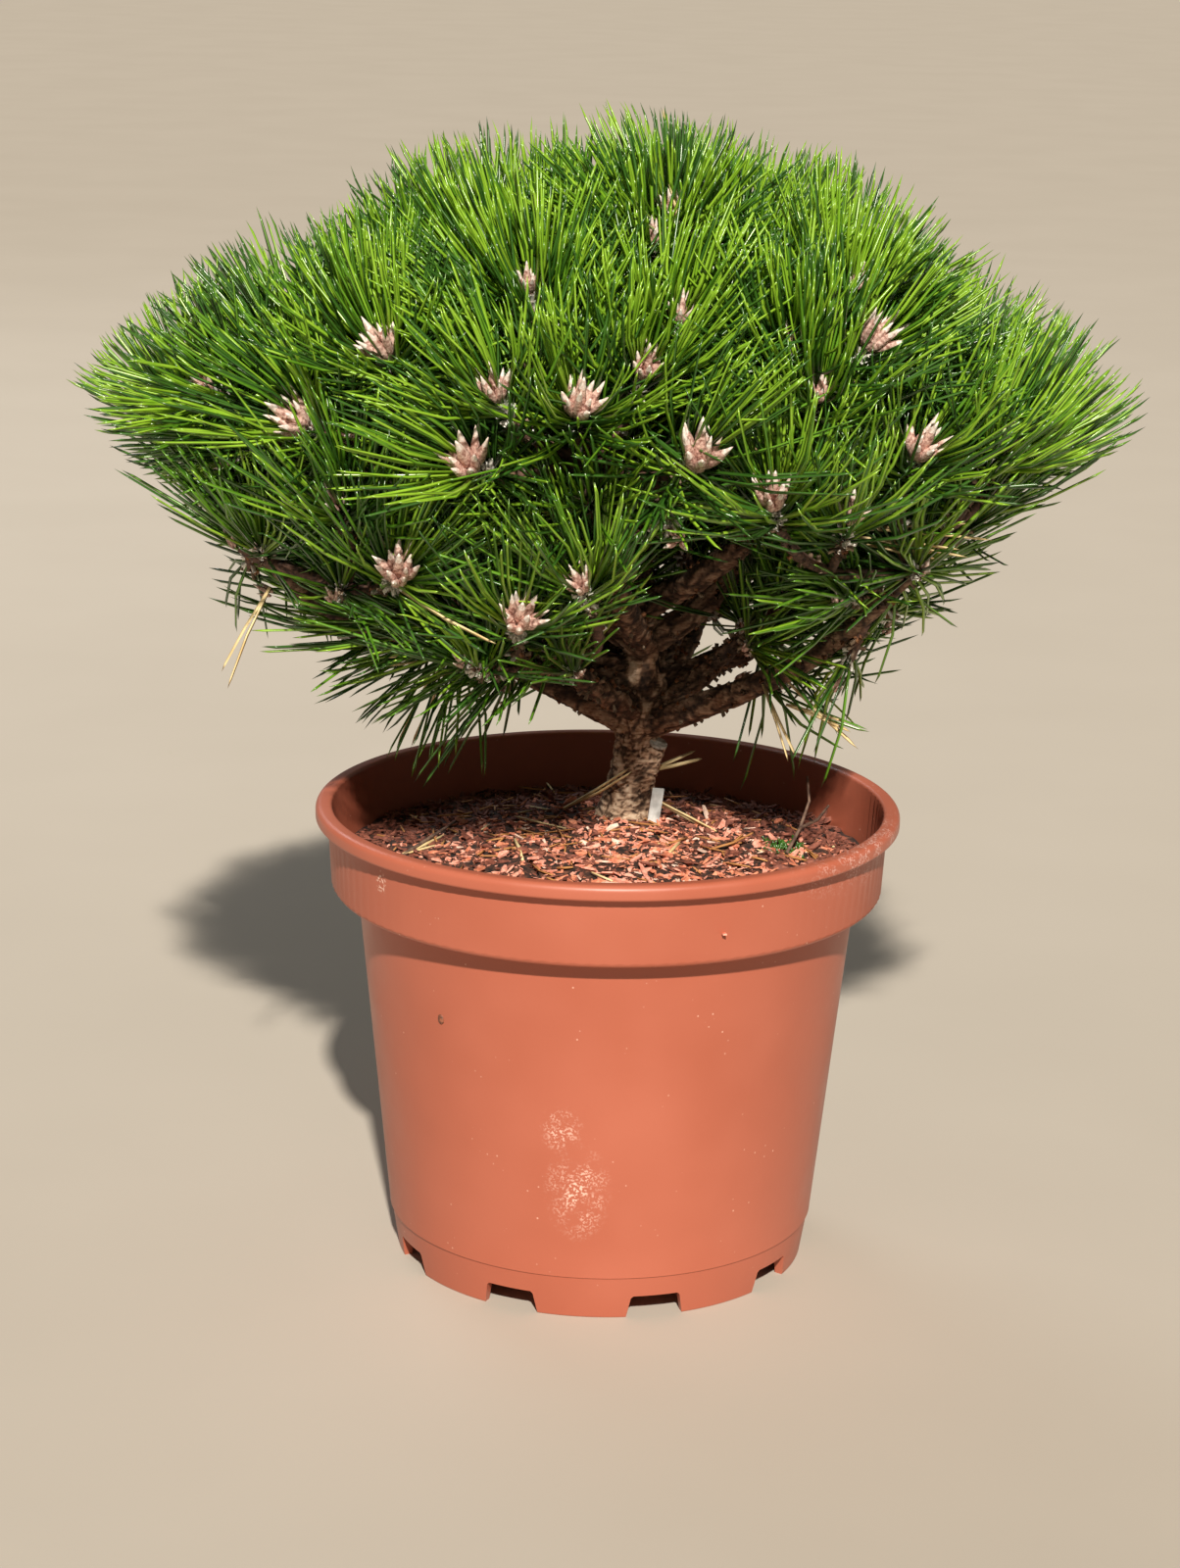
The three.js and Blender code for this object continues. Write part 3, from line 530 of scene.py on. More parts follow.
peat, tree, shader = new_finish("peat", 0.9)
crumb = noise_pattern(tree, 3, detail=6)
peat_colour = colour_ramp(tree, crumb, [
    (0.38, (0.014, 0.007, 0.005)), (0.55, (0.060, 0.024, 0.014)), (0.7, (0.19, 0.070, 0.038)),
])
tree.links.new(peat_colour, shader.inputs["Base Color"])
add_bump(tree, shader, crumb, 1.2)
finish_piece("compost_bed", mesh_of(compost_shape), [peat], ["compost"])

# %% [markdown]
# ## Dealing out small things
#
# Chips, needles, sheaths and buds are each one small shape repeated hundreds or thousands of
# times. Instances would be lighter, but they are lost when the model is exported, so the copies
# are worked out as arrays and joined into one mesh. The small shape is modelled once with bmesh,
# as wide as 1 and standing from 0 to 1 along Z. Each copy then has a root, the way it points, a
# side, a length, a width and a bend: the bend moves a point sideways by the square of how far up
# it stands, which curves the copy.

# %% Deal out copies
def prototype(shape):
    """A small bmesh as arrays: its points, its faces' corners and where each face starts."""
    mesh = mesh_of(shape)
    points = np.array([vert.co for vert in mesh.vertices])
    corners = np.array([loop.vertex_index for loop in mesh.loops])
    starts = np.array([face.loop_start for face in mesh.polygons])
    bpy.data.meshes.remove(mesh)
    return SimpleNamespace(points=points, corners=corners, starts=starts)


def unit(vectors):
    """Vectors of length 1 that point the same way."""
    return vectors / np.linalg.norm(vectors, axis=-1, keepdims=True)


def deal(small, copies, smooth=True):
    """One mesh that holds a copy of the small shape for each row of the arrays in copies."""
    count = len(copies.roots)
    ways = unit(copies.ways)
    sides = unit(copies.sides - ways * np.sum(copies.sides * ways, axis=1, keepdims=True))
    others = np.cross(ways, sides)
    x, y, z = small.points.T
    points = copies.roots[:, None, :] + (
        sides[:, None, :] * (copies.widths[:, None] * x)[..., None]
        + others[:, None, :] * (copies.depths[:, None] * y)[..., None]
        + ways[:, None, :] * (copies.lengths[:, None] * z)[..., None]
        + copies.bends[:, None, :] * (copies.lengths[:, None] * z * z)[..., None]
    )
    step = np.arange(count)[:, None]
    corners = small.corners[None, :] + step * len(small.points)
    starts = small.starts[None, :] + step * len(small.corners)
    mesh = bpy.data.meshes.new("dealt")
    mesh.vertices.add(count * len(small.points))
    mesh.vertices.foreach_set("co", points.astype(np.float32).ravel())
    mesh.loops.add(corners.size)
    mesh.loops.foreach_set("vertex_index", corners.astype(np.int32).ravel())
    mesh.polygons.add(starts.size)
    mesh.polygons.foreach_set("loop_start", starts.astype(np.int32).ravel())
    mesh.polygons.foreach_set("use_smooth", np.full(starts.size, smooth))
    kinds = np.repeat(copies.kinds, len(small.starts))
    mesh.polygons.foreach_set("material_index", kinds.astype(np.int32))
    mesh.update(calc_edges=True)
    return mesh


def gathered(copies):
    """Several groups of copies as one."""
    return SimpleNamespace(**{key: np.concatenate([getattr(group, key) for group in copies])
                              for key in vars(copies[0])})


def chosen(copies, keep):
    """The copies that a mask keeps."""
    return SimpleNamespace(**{key: values[keep] for key, values in vars(copies).items()})


def random_ways(random, count, tilt):
    """Ways that lie flat but for a tilt, pointing all round."""
    azimuth = random.uniform(0, 2 * math.pi, count)
    return np.stack([np.cos(azimuth), np.sin(azimuth), random.normal(0, tilt, count)], axis=1)


# %% [markdown]
# ## Bark chips
#
# What shows of the compost is mostly chips of bark, salmon, orange and brown, lying every way
# among dark crumbs. The brown chips are real, but more of them lie away from the lit front middle,
# towards the rim, which paints the compost's shade. One chip is a block whose ends taper, with its
# middle loop pushed to one side so that it isn't straight. The thousands of copies differ in size,
# tilt and bend, and each takes one of four colours.

# %% Bark chips
TRUNK_FOOT = (8, 36)
TRUNK_CLEAR = 13
CHIP_COUNT = 9000
CHIP_LENGTH = 3.2
CHIP_LENGTHS = (1.5, 13)
CHIP_WIDTHS = (0.8, 3)
CHIP_ENDS = (0.45, 0.62)
CHIP_CROOK = 0.18
CHIP_TILT = 0.22
CHIP_SHARES = (0.31, 0.32, 0.30, 0.07)
BROWN_CHIP = 2
LIT_MIDDLE = (15, -55)
LIT_REACH = 125


def upright_edges(shape, least):
    """The edges of a shape that rise by more than the given height."""
    return [edge for edge in shape.edges if abs(edge.verts[0].co.z - edge.verts[1].co.z) > least]


def chip_prototype():
    """A block with tapered ends and a bent middle."""
    shape = bmesh.new()
    bmesh.ops.create_cube(shape, size=1, matrix=Matrix.Translation((0, 0, 0.5)))
    bmesh.ops.subdivide_edges(shape, edges=upright_edges(shape, 0.5), cuts=1, use_grid_fill=True)
    for vert in shape.verts:
        narrow = CHIP_ENDS[0] if vert.co.z < 0.1 else CHIP_ENDS[1] if vert.co.z > 0.9 else 1.0
        vert.co.x *= narrow
        vert.co.y *= narrow
        vert.co.x += CHIP_CROOK * math.sin(vert.co.z * 4)
    bmesh.ops.recalc_face_normals(shape, faces=shape.faces)
    return prototype(shape)


def scattered(random, count, radius):
    """Places on the compost, all over the bed, with none inside the trunk."""
    places = []
    while len(places) < count:
        x, y = random.uniform(-radius, radius, 2)
        clear = math.hypot(x - TRUNK_FOOT[0], y - TRUNK_FOOT[1]) > TRUNK_CLEAR
        if math.hypot(x, y) < radius and clear:
            places.append((x, y, ground_height(x, y)))
    return np.array(places)


random = np.random.default_rng(11)
chip_lengths = np.clip(CHIP_LENGTH * random.lognormal(0, 0.5, CHIP_COUNT), *CHIP_LENGTHS)
chip_widths = np.clip(chip_lengths * random.uniform(0.2, 0.6, CHIP_COUNT), *CHIP_WIDTHS)
chip_roots = scattered(random, CHIP_COUNT, COMPOST_RADIUS - 3) + (0, 0, 0.5)
# Painted shade: chips turn brown more often the farther they lie from the lit front middle of the
# bed.
away = np.hypot(chip_roots[:, 0] - LIT_MIDDLE[0], chip_roots[:, 1] - LIT_MIDDLE[1]) / LIT_REACH
browner_in_shade = random.uniform(0, 0.8, CHIP_COUNT) < 0.55 * away ** 2
chip_sides = np.cross((0, 0, 1), random_ways(random, CHIP_COUNT, 0))
chips = SimpleNamespace(
    roots=chip_roots,
    ways=random_ways(random, CHIP_COUNT, CHIP_TILT),
    sides=chip_sides + random.normal(0, 0.35, (CHIP_COUNT, 3)),
    lengths=chip_lengths,
    widths=chip_widths,
    depths=chip_widths * random.uniform(0.25, 0.6, CHIP_COUNT),
    bends=random.normal(0, 0.07, (CHIP_COUNT, 3)),
    kinds=np.where(browner_in_shade, BROWN_CHIP, random.choice(4, CHIP_COUNT, p=CHIP_SHARES)),
)
chip_finishes = [
    mottled("chip_salmon", (0.66, 0.23, 0.15), (0.96, 0.46, 0.34), 2.5, 0.75, bump=0.3),
    mottled("chip_orange", (0.52, 0.14, 0.07), (0.84, 0.33, 0.19), 2.5, 0.75, bump=0.3),
    mottled("chip_brown", (0.11, 0.030, 0.018), (0.30, 0.095, 0.058), 2.5, 0.8, bump=0.3),
    mottled("chip_pale", (0.76, 0.48, 0.36), (0.94, 0.70, 0.56), 2.5, 0.7, bump=0.3),
]
finish_piece("bark_chips", deal(chip_prototype(), chips, smooth=False), chip_finishes)

# %% [markdown]
# A plain white label is pushed in beside the trunk. It is a thin block with softly rounded edges
# and a slight curl, and nothing is written on it.

# %% Label
LABEL_SIZE = (6.4, 0.9, 35)
LABEL_MIDDLE = (24, 22, MOUND_HEIGHT + 1.5)
LABEL_TURN = 0.25
LABEL_TILT = 0.13
LABEL_CURL = 0.5
LABEL_ROUNDING = 0.3

label_shape = bmesh.new()
bmesh.ops.create_cube(label_shape, size=1)
bmesh.ops.scale(label_shape, verts=label_shape.verts, vec=LABEL_SIZE)
bmesh.ops.bevel(label_shape, geom=upright_edges(label_shape, 1), affect="EDGES",
                offset=LABEL_ROUNDING, segments=2, profile=0.5, material=-1)
bmesh.ops.subdivide_edges(label_shape, edges=upright_edges(label_shape, 1), cuts=8,
                          use_grid_fill=True)
for vert in label_shape.verts:
    vert.co.y += LABEL_CURL * (vert.co.x / LABEL_SIZE[0]) ** 2
    vert.co.y -= LABEL_CURL * (vert.co.z / LABEL_SIZE[2]) ** 2
bmesh.ops.rotate(label_shape, verts=label_shape.verts, cent=(0, 0, 0),
                 matrix=Matrix.Rotation(LABEL_TILT, 3, "Y") @ Matrix.Rotation(LABEL_TURN, 3, "Z"))
bmesh.ops.translate(label_shape, verts=label_shape.verts, vec=LABEL_MIDDLE)
label_white = mottled("label_white", (0.42, 0.41, 0.39), (0.74, 0.73, 0.70), 6, 0.45, bump=0.05)
finish_piece("plant_label", mesh_of(label_shape), [label_white], ["label_strip"])

# %% [markdown]
# ## The rule that lays out the tree
#
# The tree is grown by the CAD model's own rule. Rings of foliage masses stand round the leader,
# and each mass has a middle, the way it faces, a fork where its shoots part, and the tips of its
# shoots. A seeded number for each mass moves them a little. The same numbers in the same order
# give the same tree, so the rule below repeats the CAD model's and only then goes further.

# %% Seeded numbers and curves
UP = np.array([0.0, 0.0, 1.0])
SEED = 9901
SEED_STEP = 97
MULTIPLIER = 16807
LARGEST_NUMBER = 2147483647


def seeded(seed):
    """An endless row of numbers from 0 to 1, the same for the same seed."""
    state = seed
    while True:
        state = state * MULTIPLIER % LARGEST_NUMBER
        yield state / LARGEST_NUMBER


def between(first, second, share):
    """The value at a share of the way from the first to the second."""
    return first + (second - first) * share


def bezier(points, share):
    """A point on the curve that a few points shape, for one share or an array of shares."""
    share = np.asarray(share, float)[..., None]
    rows = [np.asarray(point) + 0 * share for point in points]
    while len(rows) > 1:
        rows = [between(first, second, share) for first, second in zip(rows, rows[1:])]
    return rows[0]


draw = seeded(SEED)
print("the first numbers for this seed:", [round(next(draw), 4) for i in range(3)])

# %% [markdown]
# The trunk leans forward as it climbs and bows a little. It flares at the compost, keeps its
# width up to the fork and thins above it.

# %% Trunk line
TRUNK_SUNK = 8
TRUNK_TIP = np.array([21.0, 2.0, 500.0])
TRUNK_BOW = 5
TRUNK_FOOT_RADIUS = 12.6
TRUNK_FORK_HEIGHT = 287
TRUNK_FORK_RADIUS = 11.2
LEADER_RADIUS = 8.2
LEADER_TIP_RADIUS = 3.4
FLARE = 4.2
FLARE_HEIGHT = 9
SHOULDER_SHARE = 6

trunk_ground = MOUND_HEIGHT + COMPOST_GAP
trunk_base = np.array([*TRUNK_FOOT, trunk_ground - TRUNK_SUNK])


def trunk_route(t):
    """The place at a share of the trunk's height."""
    point = between(trunk_base, TRUNK_TIP, t)
    return point + TRUNK_BOW * np.array([math.sin(2 * math.pi * t), math.sin(math.pi * t), 0])


def trunk_share(z):
    """The share of the trunk's height that a height in millimetres is."""
    return (z - trunk_base[2]) / (TRUNK_TIP[2] - trunk_base[2])


def trunk_radius(t):
    """The trunk's radius at a share of its height, with its flare and its shoulder."""
    z = between(trunk_base[2], TRUNK_TIP[2], t)
    fork = trunk_share(TRUNK_FORK_HEIGHT)
    flare = FLARE * math.exp(min(0, trunk_ground - z) / FLARE_HEIGHT)
    if t < fork:
        return between(TRUNK_FOOT_RADIUS, TRUNK_FORK_RADIUS, t / fork) + flare
    above = (t - fork) / (1 - fork)
    shoulder = max(0, 1 - above * SHOULDER_SHARE)
    leader = between(LEADER_RADIUS, LEADER_TIP_RADIUS, above)
    return leader + (TRUNK_FORK_RADIUS - LEADER_RADIUS) * shoulder


print("trunk's height over the compost in millimetres:", round(TRUNK_TIP[2] - trunk_ground, 1))

# %% [markdown]
# Each ring is a row of named sizes: its axis, how many masses it has, the azimuth of the first
# and the step to the next, how far out and how high the middles stand, how far in and down from
# there the shoots part, how many shoots a mass has and how far they spread, how much they lift,
# and the heights at which the limbs leave the trunk by turns.

# %% Lay out the masses
RINGS = [
    dict(level="low", x=-5, y=-3, count=6, first=-27, step=47, out=212, z=426, inward=38,
         drop=42, shoots=4, spread=38, lift=0.4, leave=(272, 290)),
    dict(level="middle", x=-4, y=-25, count=6, first=270, step=60, out=152, z=480, inward=30,
         drop=44, shoots=3, spread=38, lift=0.8, leave=(318, 338)),
    dict(level="upper", x=6, y=2, count=4, first=50, step=90, out=78, z=522, inward=28,
         drop=60, shoots=3, spread=30, lift=1.8, leave=(418, 430)),
    dict(level="inner", x=6, y=12, count=5, first=0, step=60, out=92, z=362, inward=32,
         drop=34, shoots=2, spread=26, lift=0.6, leave=(281, 299)),
]
TOP = dict(x=21, y=2, z=548, drop=44, shoots=3, spread=17)
JITTER = dict(degrees=8, height=16, out=0.06, tip=0.3, depth=0.4)
UPRIGHT = 0.2


def shoot_tips(middle, facing, shoots, spread, draw):
    """The tips of a mass's shoots, spread round its middle across the way that it faces."""
    across = np.cross(UP, facing)
    if np.linalg.norm(across) < UPRIGHT:
        across = np.array([1.0, 0.0, 0.0])
    across = unit(across)
    along = unit(np.cross(facing, across))
    turn = next(draw) * math.pi
    tips = []
    for i in range(shoots):
        angle = turn + 2 * math.pi * i / shoots
        reach = spread * (1 + JITTER["tip"] * (next(draw) - 0.5))
        depth = spread * JITTER["depth"] * (next(draw) - 0.5)
        tips.append(middle + reach * (math.cos(angle) * across + math.sin(angle) * along)
                    + depth * facing)
    return tips


def lay_mass(ring, index, seed):
    """One mass of a ring: its middle, the way it faces, its fork and its shoots' tips."""
    draw = seeded(seed)
    degrees = ring["first"] + ring["step"] * index + JITTER["degrees"] * (next(draw) - 0.5)
    azimuth = math.radians(degrees)
    outward = np.array([math.cos(azimuth), math.sin(azimuth), 0])
    height = ring["z"] + JITTER["height"] * (next(draw) - 0.5)
    out = ring["out"] * (1 + JITTER["out"] * (next(draw) - 0.5))
    middle = np.array([ring["x"], ring["y"], height]) + outward * out
    facing = unit(outward + UP * ring["lift"])
    fork = middle - outward * ring["inward"] - UP * ring["drop"]
    tips = shoot_tips(middle, facing, ring["shoots"], ring["spread"], draw)
    return SimpleNamespace(level=ring["level"], leave=ring["leave"][index % 2], middle=middle,
                           fork=fork, tips=tips)


def lay_top(seed):
    """The mass on the leader's tip."""
    draw = seeded(seed)
    middle = np.array([TOP["x"], TOP["y"], TOP["z"]], float)
    tips = shoot_tips(middle, UP, TOP["shoots"], TOP["spread"], draw)
    return SimpleNamespace(level="top", leave=None, middle=middle, fork=middle - UP * TOP["drop"],
                           tips=tips)


masses = []
for ring in RINGS:
    for i in range(ring["count"]):
        masses.append(lay_mass(ring, i, SEED + SEED_STEP * len(masses)))
masses.append(lay_top(SEED + SEED_STEP * len(masses)))
print("masses:", len(masses), "shoots:", sum(len(mass.tips) for mass in masses))

# %% [markdown]
# A bough leaves the trunk, runs outward, then sweeps up to its mass's fork. Twigs and needles
# keep clear of the trunk and boughs, so each is also kept as a row of short straight stretches.

# %% Bough lines
BOUGH_RADIUS = 7.2
BOUGH_TIP_RADIUS = 4.8
BOUGH_END = 0.8
BOUGH_LEAVING = (0.42, 0.42)
BOUGH_RISING = (1.1, 0.34)
BOUGH_LEVELS = ("low", "middle", "inner")


def bough_line(mass):
    """The four points that shape a mass's bough, from the trunk to the fork."""
    start = trunk_route(trunk_share(mass.leave))
    reach = np.linalg.norm(mass.fork - start)
    outward = unit((mass.fork - start) * (1, 1, 0))
    leaving = unit(outward + UP * BOUGH_LEAVING[0])
    rising = unit(outward + UP * BOUGH_RISING[0])
    return (start, start + leaving * BOUGH_LEAVING[1] * reach,
            mass.fork - rising * BOUGH_RISING[1] * reach, mass.fork)


limb_starts, limb_ends, limb_radii = [], [], []


def keep_clear_of(points, radii):
    """Notes a limb's stretches, for other things to keep clear of."""
    limb_starts.extend(points[:-1])
    limb_ends.extend(points[1:])
    limb_radii.extend(np.maximum(radii[:-1], radii[1:]))


trunk_shares = np.linspace(0, 1, 17)
keep_clear_of([trunk_route(t) for t in trunk_shares], [trunk_radius(t) for t in trunk_shares])
for mass in masses:
    if mass.leave:
        mass.line = bough_line(mass)
    if mass.level in BOUGH_LEVELS:
        shares = np.linspace(0, BOUGH_END, 11)
        radii = between(BOUGH_RADIUS, BOUGH_TIP_RADIUS, shares)
        keep_clear_of(list(bezier(mass.line, shares)), radii)
limb_starts, limb_ends = np.array(limb_starts), np.array(limb_ends)
limb_radii = np.array(limb_radii)


def away_from_limbs(points):
    """How far each point lies outside each stretch of the trunk and boughs."""
    lines = limb_ends - limb_starts
    offset = points[:, None, :] - limb_starts
    share = np.clip(np.sum(offset * lines, axis=2) / np.sum(lines * lines, axis=1), 0, 1)
    return np.linalg.norm(offset - share[..., None] * lines, axis=2) - limb_radii


def room_from_limbs(points):
    """How far each point lies outside the nearest trunk or bough."""
    return np.min(away_from_limbs(points), axis=1)


print("limb stretches:", len(limb_radii))

# %% [markdown]
# ## Bark
#
# The trunk and boughs are drawn as curves with a radius at each point, which Blender turns into
# tubes. Tubes only push through each other where they meet, while a real fork swells smoothly. So
# the tubes are remeshed into one skin of even small faces and smoothed, which rounds the joins.
# Then each point of the skin moves along its normal by a bark pattern.

# %% Skin of trunk and boughs
STUB = dict(foot=np.array([18.5, 31.0, 243.0]), way=np.array([7.0, -8.0, 22.0]), radius=5.6,
            cut=4.4)
BARK_VOXEL = 1.35
TWIG_RADIUS = 3.0
TRUNK_START = 0.005
TRUNK_POINTS = 70
BOUGH_POINTS = 40
BOUGH_THINNING = 1.6
BOUGH_SWELL = 2.2
SWELL_FALL = 14


def add_tube(curve, points, radii):
    """Adds one tube to a curve object, through the points and with a radius at each."""
    spline = curve.splines.new("POLY")
    spline.points.add(len(points) - 1)
    for knot, point, radius in zip(spline.points, points, radii):
        knot.co = (*point, 1)
        knot.radius = radius


def new_tubes(sides):
    """An empty curve object whose tubes have the given number of sides."""
    curve = bpy.data.curves.new("tubes", "CURVE")
    curve.dimensions = "3D"
    curve.bevel_depth = 1
    curve.bevel_resolution = sides // 2 - 2
    curve.use_fill_caps = True
    return curve


limb_tubes = new_tubes(16)
shares = np.linspace(TRUNK_START, 1, TRUNK_POINTS)
add_tube(limb_tubes, [trunk_route(t) for t in shares], [trunk_radius(t) for t in shares])
add_tube(limb_tubes, [STUB["foot"] + STUB["way"] * t for t in (-0.2, 0.5, 1)],
         [STUB["radius"], STUB["radius"], STUB["cut"]])
for mass in masses:
    if mass.leave:
        shares = np.linspace(0, 1, BOUGH_POINTS)
        thick = BOUGH_RADIUS if mass.level in BOUGH_LEVELS else BOUGH_TIP_RADIUS
        swell = BOUGH_SWELL * np.exp(-shares * SWELL_FALL)
        add_tube(limb_tubes, bezier(mass.line, shares),
                 between(thick, TWIG_RADIUS + 0.6, shares ** BOUGH_THINNING) + swell)
add_tube(limb_tubes, [trunk_route(1), TRUNK_TIP + UP * 4, masses[-1].fork],
         [LEADER_TIP_RADIUS, LEADER_TIP_RADIUS, TWIG_RADIUS])
skin = evaluated(evaluated(limb_tubes), ("REMESH", {"mode": "VOXEL", "voxel_size": BARK_VOXEL}))
print("bark skin faces:", len(skin.polygons))

# %% [markdown]
# Old pine bark splits into plates. Noise of the Voronoi kind gives the distance to the nearest
# and the second nearest of scattered points: where the two are almost equal a crack runs. The
# pattern is squeezed along the limb, so the plates are longer than they are wide, but low on the
# trunk they lie across it as wrinkles. The depth goes with the limb's thickness. How high each
# point stands is also kept as an attribute, for the finish, and on the thinner boughs it is kept
# lower, which paints shade on them. The noise that bends the pattern is given a seed, so that
# every run makes the same bark.

# %% Bark relief and painted bough shade
SMOOTHINGS = 3
PLATE_SIZE = 7.5
PLATE_SQUEEZE = 0.62
PLATE_DEPTH = 1.8
PLATE_SHARE = 0.62
CRACK_SHARPNESS = 3.6
FLAKE_SIZE = 2.6
FLAKE_SHARE = 0.24
GRAIN_SIZE = 1.7
GRAIN_SHARE = 0.14
WANDER_SIZE = 9
WANDER = 2.5
WANDER_SEED = 5
WRINKLE_TOP = 270
WRINKLE_FADE = 20
WRINKLE_SIZE = 10
WRINKLE_SQUEEZE = -2.4
FULL_RELIEF_RADIUS = 11
BOUGH_SHADE = 0.34
AT_A_TIME = 4000


def limb_ways(points):
    """For each point the direction and radius of the nearest limb."""
    nearest = [np.argmin(away_from_limbs(points[first:first + AT_A_TIME]), axis=1)
               for first in range(0, len(points), AT_A_TIME)]
    nearest = np.concatenate(nearest)
    return unit(limb_ends - limb_starts)[nearest], limb_radii[nearest]


def crack_share(point):
    """0 in a crack between two plates and 1 on a plate."""
    distances = noise.voronoi(point)[0]
    return min(1, (distances[1] - distances[0]) * CRACK_SHARPNESS)


def bark_height(point, way):
    """How far the bark stands out at a point, from 0 in the cracks to about 1."""
    low = min(1, max(0, (WRINKLE_TOP - point.z) / WRINKLE_FADE))
    squeeze = between(PLATE_SQUEEZE, WRINKLE_SQUEEZE, low)
    bent = point - way * (point.dot(way) * squeeze)
    bent += noise.noise_vector(point / WANDER_SIZE) * WANDER
    plates = crack_share(bent / between(PLATE_SIZE, WRINKLE_SIZE, low))
    flakes = crack_share(point / FLAKE_SIZE + Vector((9, 9, 9)))
    grain = noise.noise(point / GRAIN_SIZE)
    return PLATE_SHARE * plates + FLAKE_SHARE * flakes + GRAIN_SHARE * grain


skin_shape = bmesh.new()
skin_shape.from_mesh(skin)
for i in range(SMOOTHINGS):
    bmesh.ops.smooth_vert(skin_shape, verts=skin_shape.verts, factor=0.5, use_axis_x=True,
                          use_axis_y=True, use_axis_z=True)
skin_shape.normal_update()
skin_points = np.array([vert.co for vert in skin_shape.verts])
ways, radii = limb_ways(skin_points)
noise.seed_set(WANDER_SEED)
shaded_heights = []
for vert, way, radius in zip(skin_shape.verts, ways, radii):
    height = bark_height(vert.co, Vector(way))
    thickness_share = min(1, radius / FULL_RELIEF_RADIUS)
    vert.co += vert.normal * (height - PLATE_SHARE) * PLATE_DEPTH * thickness_share
    # The stored value is lowered on thinner boughs, which paints shade on them in the finish.
    shaded_heights.append(height * between(BOUGH_SHADE, 1, thickness_share ** 2))
bark_mesh = mesh_of(skin_shape)
relief_and_shade = bark_mesh.attributes.new("relief_and_shade", "FLOAT", "POINT")
relief_and_shade.data.foreach_set("value", np.array(shaded_heights, np.float32))
print("bark relief from", round(min(shaded_heights), 2), "to", round(max(shaded_heights), 2))

# %% [markdown]
# The finish reads the attribute: dark in the cracks, darker on the thinner boughs as painted
# shade, and pale on the old plates. Weathered patches and fine wrinkles are multiplied over it.

# %% Bark finish
bark, tree, shader = new_finish("pine_bark", 0.88)
relief_shade_share = place(tree, "ShaderNodeAttribute", {}, attribute_name="relief_and_shade").outputs["Fac"]
# Low values are dark: the cracks, and the painted shade on the boughs.
plates = colour_ramp(tree, relief_shade_share, [
    (0.1, (0.035, 0.020, 0.013)), (0.35, (0.19, 0.12, 0.08)),
    (0.6, (0.62, 0.45, 0.33)), (0.95, (0.90, 0.77, 0.62)),
])
weather = colour_ramp(tree, noise_pattern(tree, 9), [
    (0.35, (0.66, 0.52, 0.42)), (0.5, (0.90, 0.82, 0.74)), (0.66, (1.0, 0.94, 0.86)),
])
wrinkles = noise_pattern(tree, 4.2, detail=4, stretch=(1, 1, 3.6))
lines = colour_ramp(tree, wrinkles, [
    (0.36, (0.50, 0.42, 0.36)), (0.46, (0.90, 0.87, 0.84)), (0.56, (1.0, 1.0, 1.0)),
])
bark_colour = plates
for pattern in (weather, lines):
    mix = place(tree, "ShaderNodeMix", {0: 1.0, 6: bark_colour, 7: pattern}, data_type="RGBA",
                blend_type="MULTIPLY")
    bark_colour = mix.outputs[2]
tree.links.new(bark_colour, shader.inputs["Base Color"])
add_bump(tree, shader, wrinkles, 1.0)
limb_nodes = sorted(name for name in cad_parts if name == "trunk" or name.startswith("bough_"))
finish_piece("bark", bark_mesh, [bark], limb_nodes)

# %% [markdown]
# The stub low on the trunk's right was sawn off. Its cut end is grey old wood: a disc with a
# softened edge, set on the stub's top.

# %% Sawn end of the stub
END_OVERLAP = (0.5, 0.2)
END_THICKNESS = 1.6
END_ROUNDING = 0.4
END_RING = 1.4
END_HOLLOW = 0.35
END_RAISED = 0.4

stub_shape = bmesh.new()
bmesh.ops.create_cone(stub_shape, cap_ends=True, segments=20, radius1=STUB["cut"] + END_OVERLAP[0],
                      radius2=STUB["cut"] + END_OVERLAP[1], depth=END_THICKNESS)
bmesh.ops.bevel(stub_shape, geom=stub_shape.edges[:], affect="EDGES", offset=END_ROUNDING,
                segments=2, profile=0.5, material=-1, clamp_overlap=True)
bmesh.ops.inset_individual(stub_shape, faces=[f for f in stub_shape.faces if len(f.verts) > 8],
                           thickness=END_RING, depth=-END_HOLLOW)
stub_way = Vector(STUB["way"]).normalized()
bmesh.ops.rotate(stub_shape, verts=stub_shape.verts, cent=(0, 0, 0),
                 matrix=stub_way.to_track_quat("Z", "Y").to_matrix())
bmesh.ops.translate(stub_shape, verts=stub_shape.verts,
                    vec=Vector(STUB["foot"] + STUB["way"]) + stub_way * END_RAISED)
old_wood = mottled("old_wood", (0.26, 0.22, 0.18), (0.50, 0.45, 0.38), 2, 0.8, bump=0.3)
finish_piece("stub_end", mesh_of(stub_shape), [old_wood])

# %% [markdown]
# ## Shoots
#
# Twigs and needles together fill the crown, so its surface comes first. It is a blunt cone above,
# and below it narrows quickly and shifts a little to the left. A level says how far out a point
# lies: 0 in the crown's middle and 1 on its surface.

# %% Crown surface
CROWN = SimpleNamespace(middle=np.array([-4.0, 0.0, 440.0]), across=(266, 258), up=152, down=300,
                        roundness=1.68)
CONE_HEIGHTS = (247, 280, 320, 355, 400, 455)
CONE_SHARES = (0.46, 0.50, 0.57, 0.70, 0.785, 1.0)
LEAN_HEIGHTS = (355, 400, 455, 500, 560)
LEANS = (-8, -3, 0, 12, 5)


def from_middle(points):
    """How far points lie from the crown's middle along each axis, 1 on its surface."""
    offset = np.array(points, float) - CROWN.middle
    offset[..., 0] -= np.interp(offset[..., 2] + CROWN.middle[2], LEAN_HEIGHTS, LEANS)
    rise = offset[..., 2] / np.where(offset[..., 2] > 0, CROWN.up, CROWN.down)
    return np.stack([offset[..., 0] / CROWN.across[0], offset[..., 1] / CROWN.across[1], rise], -1)


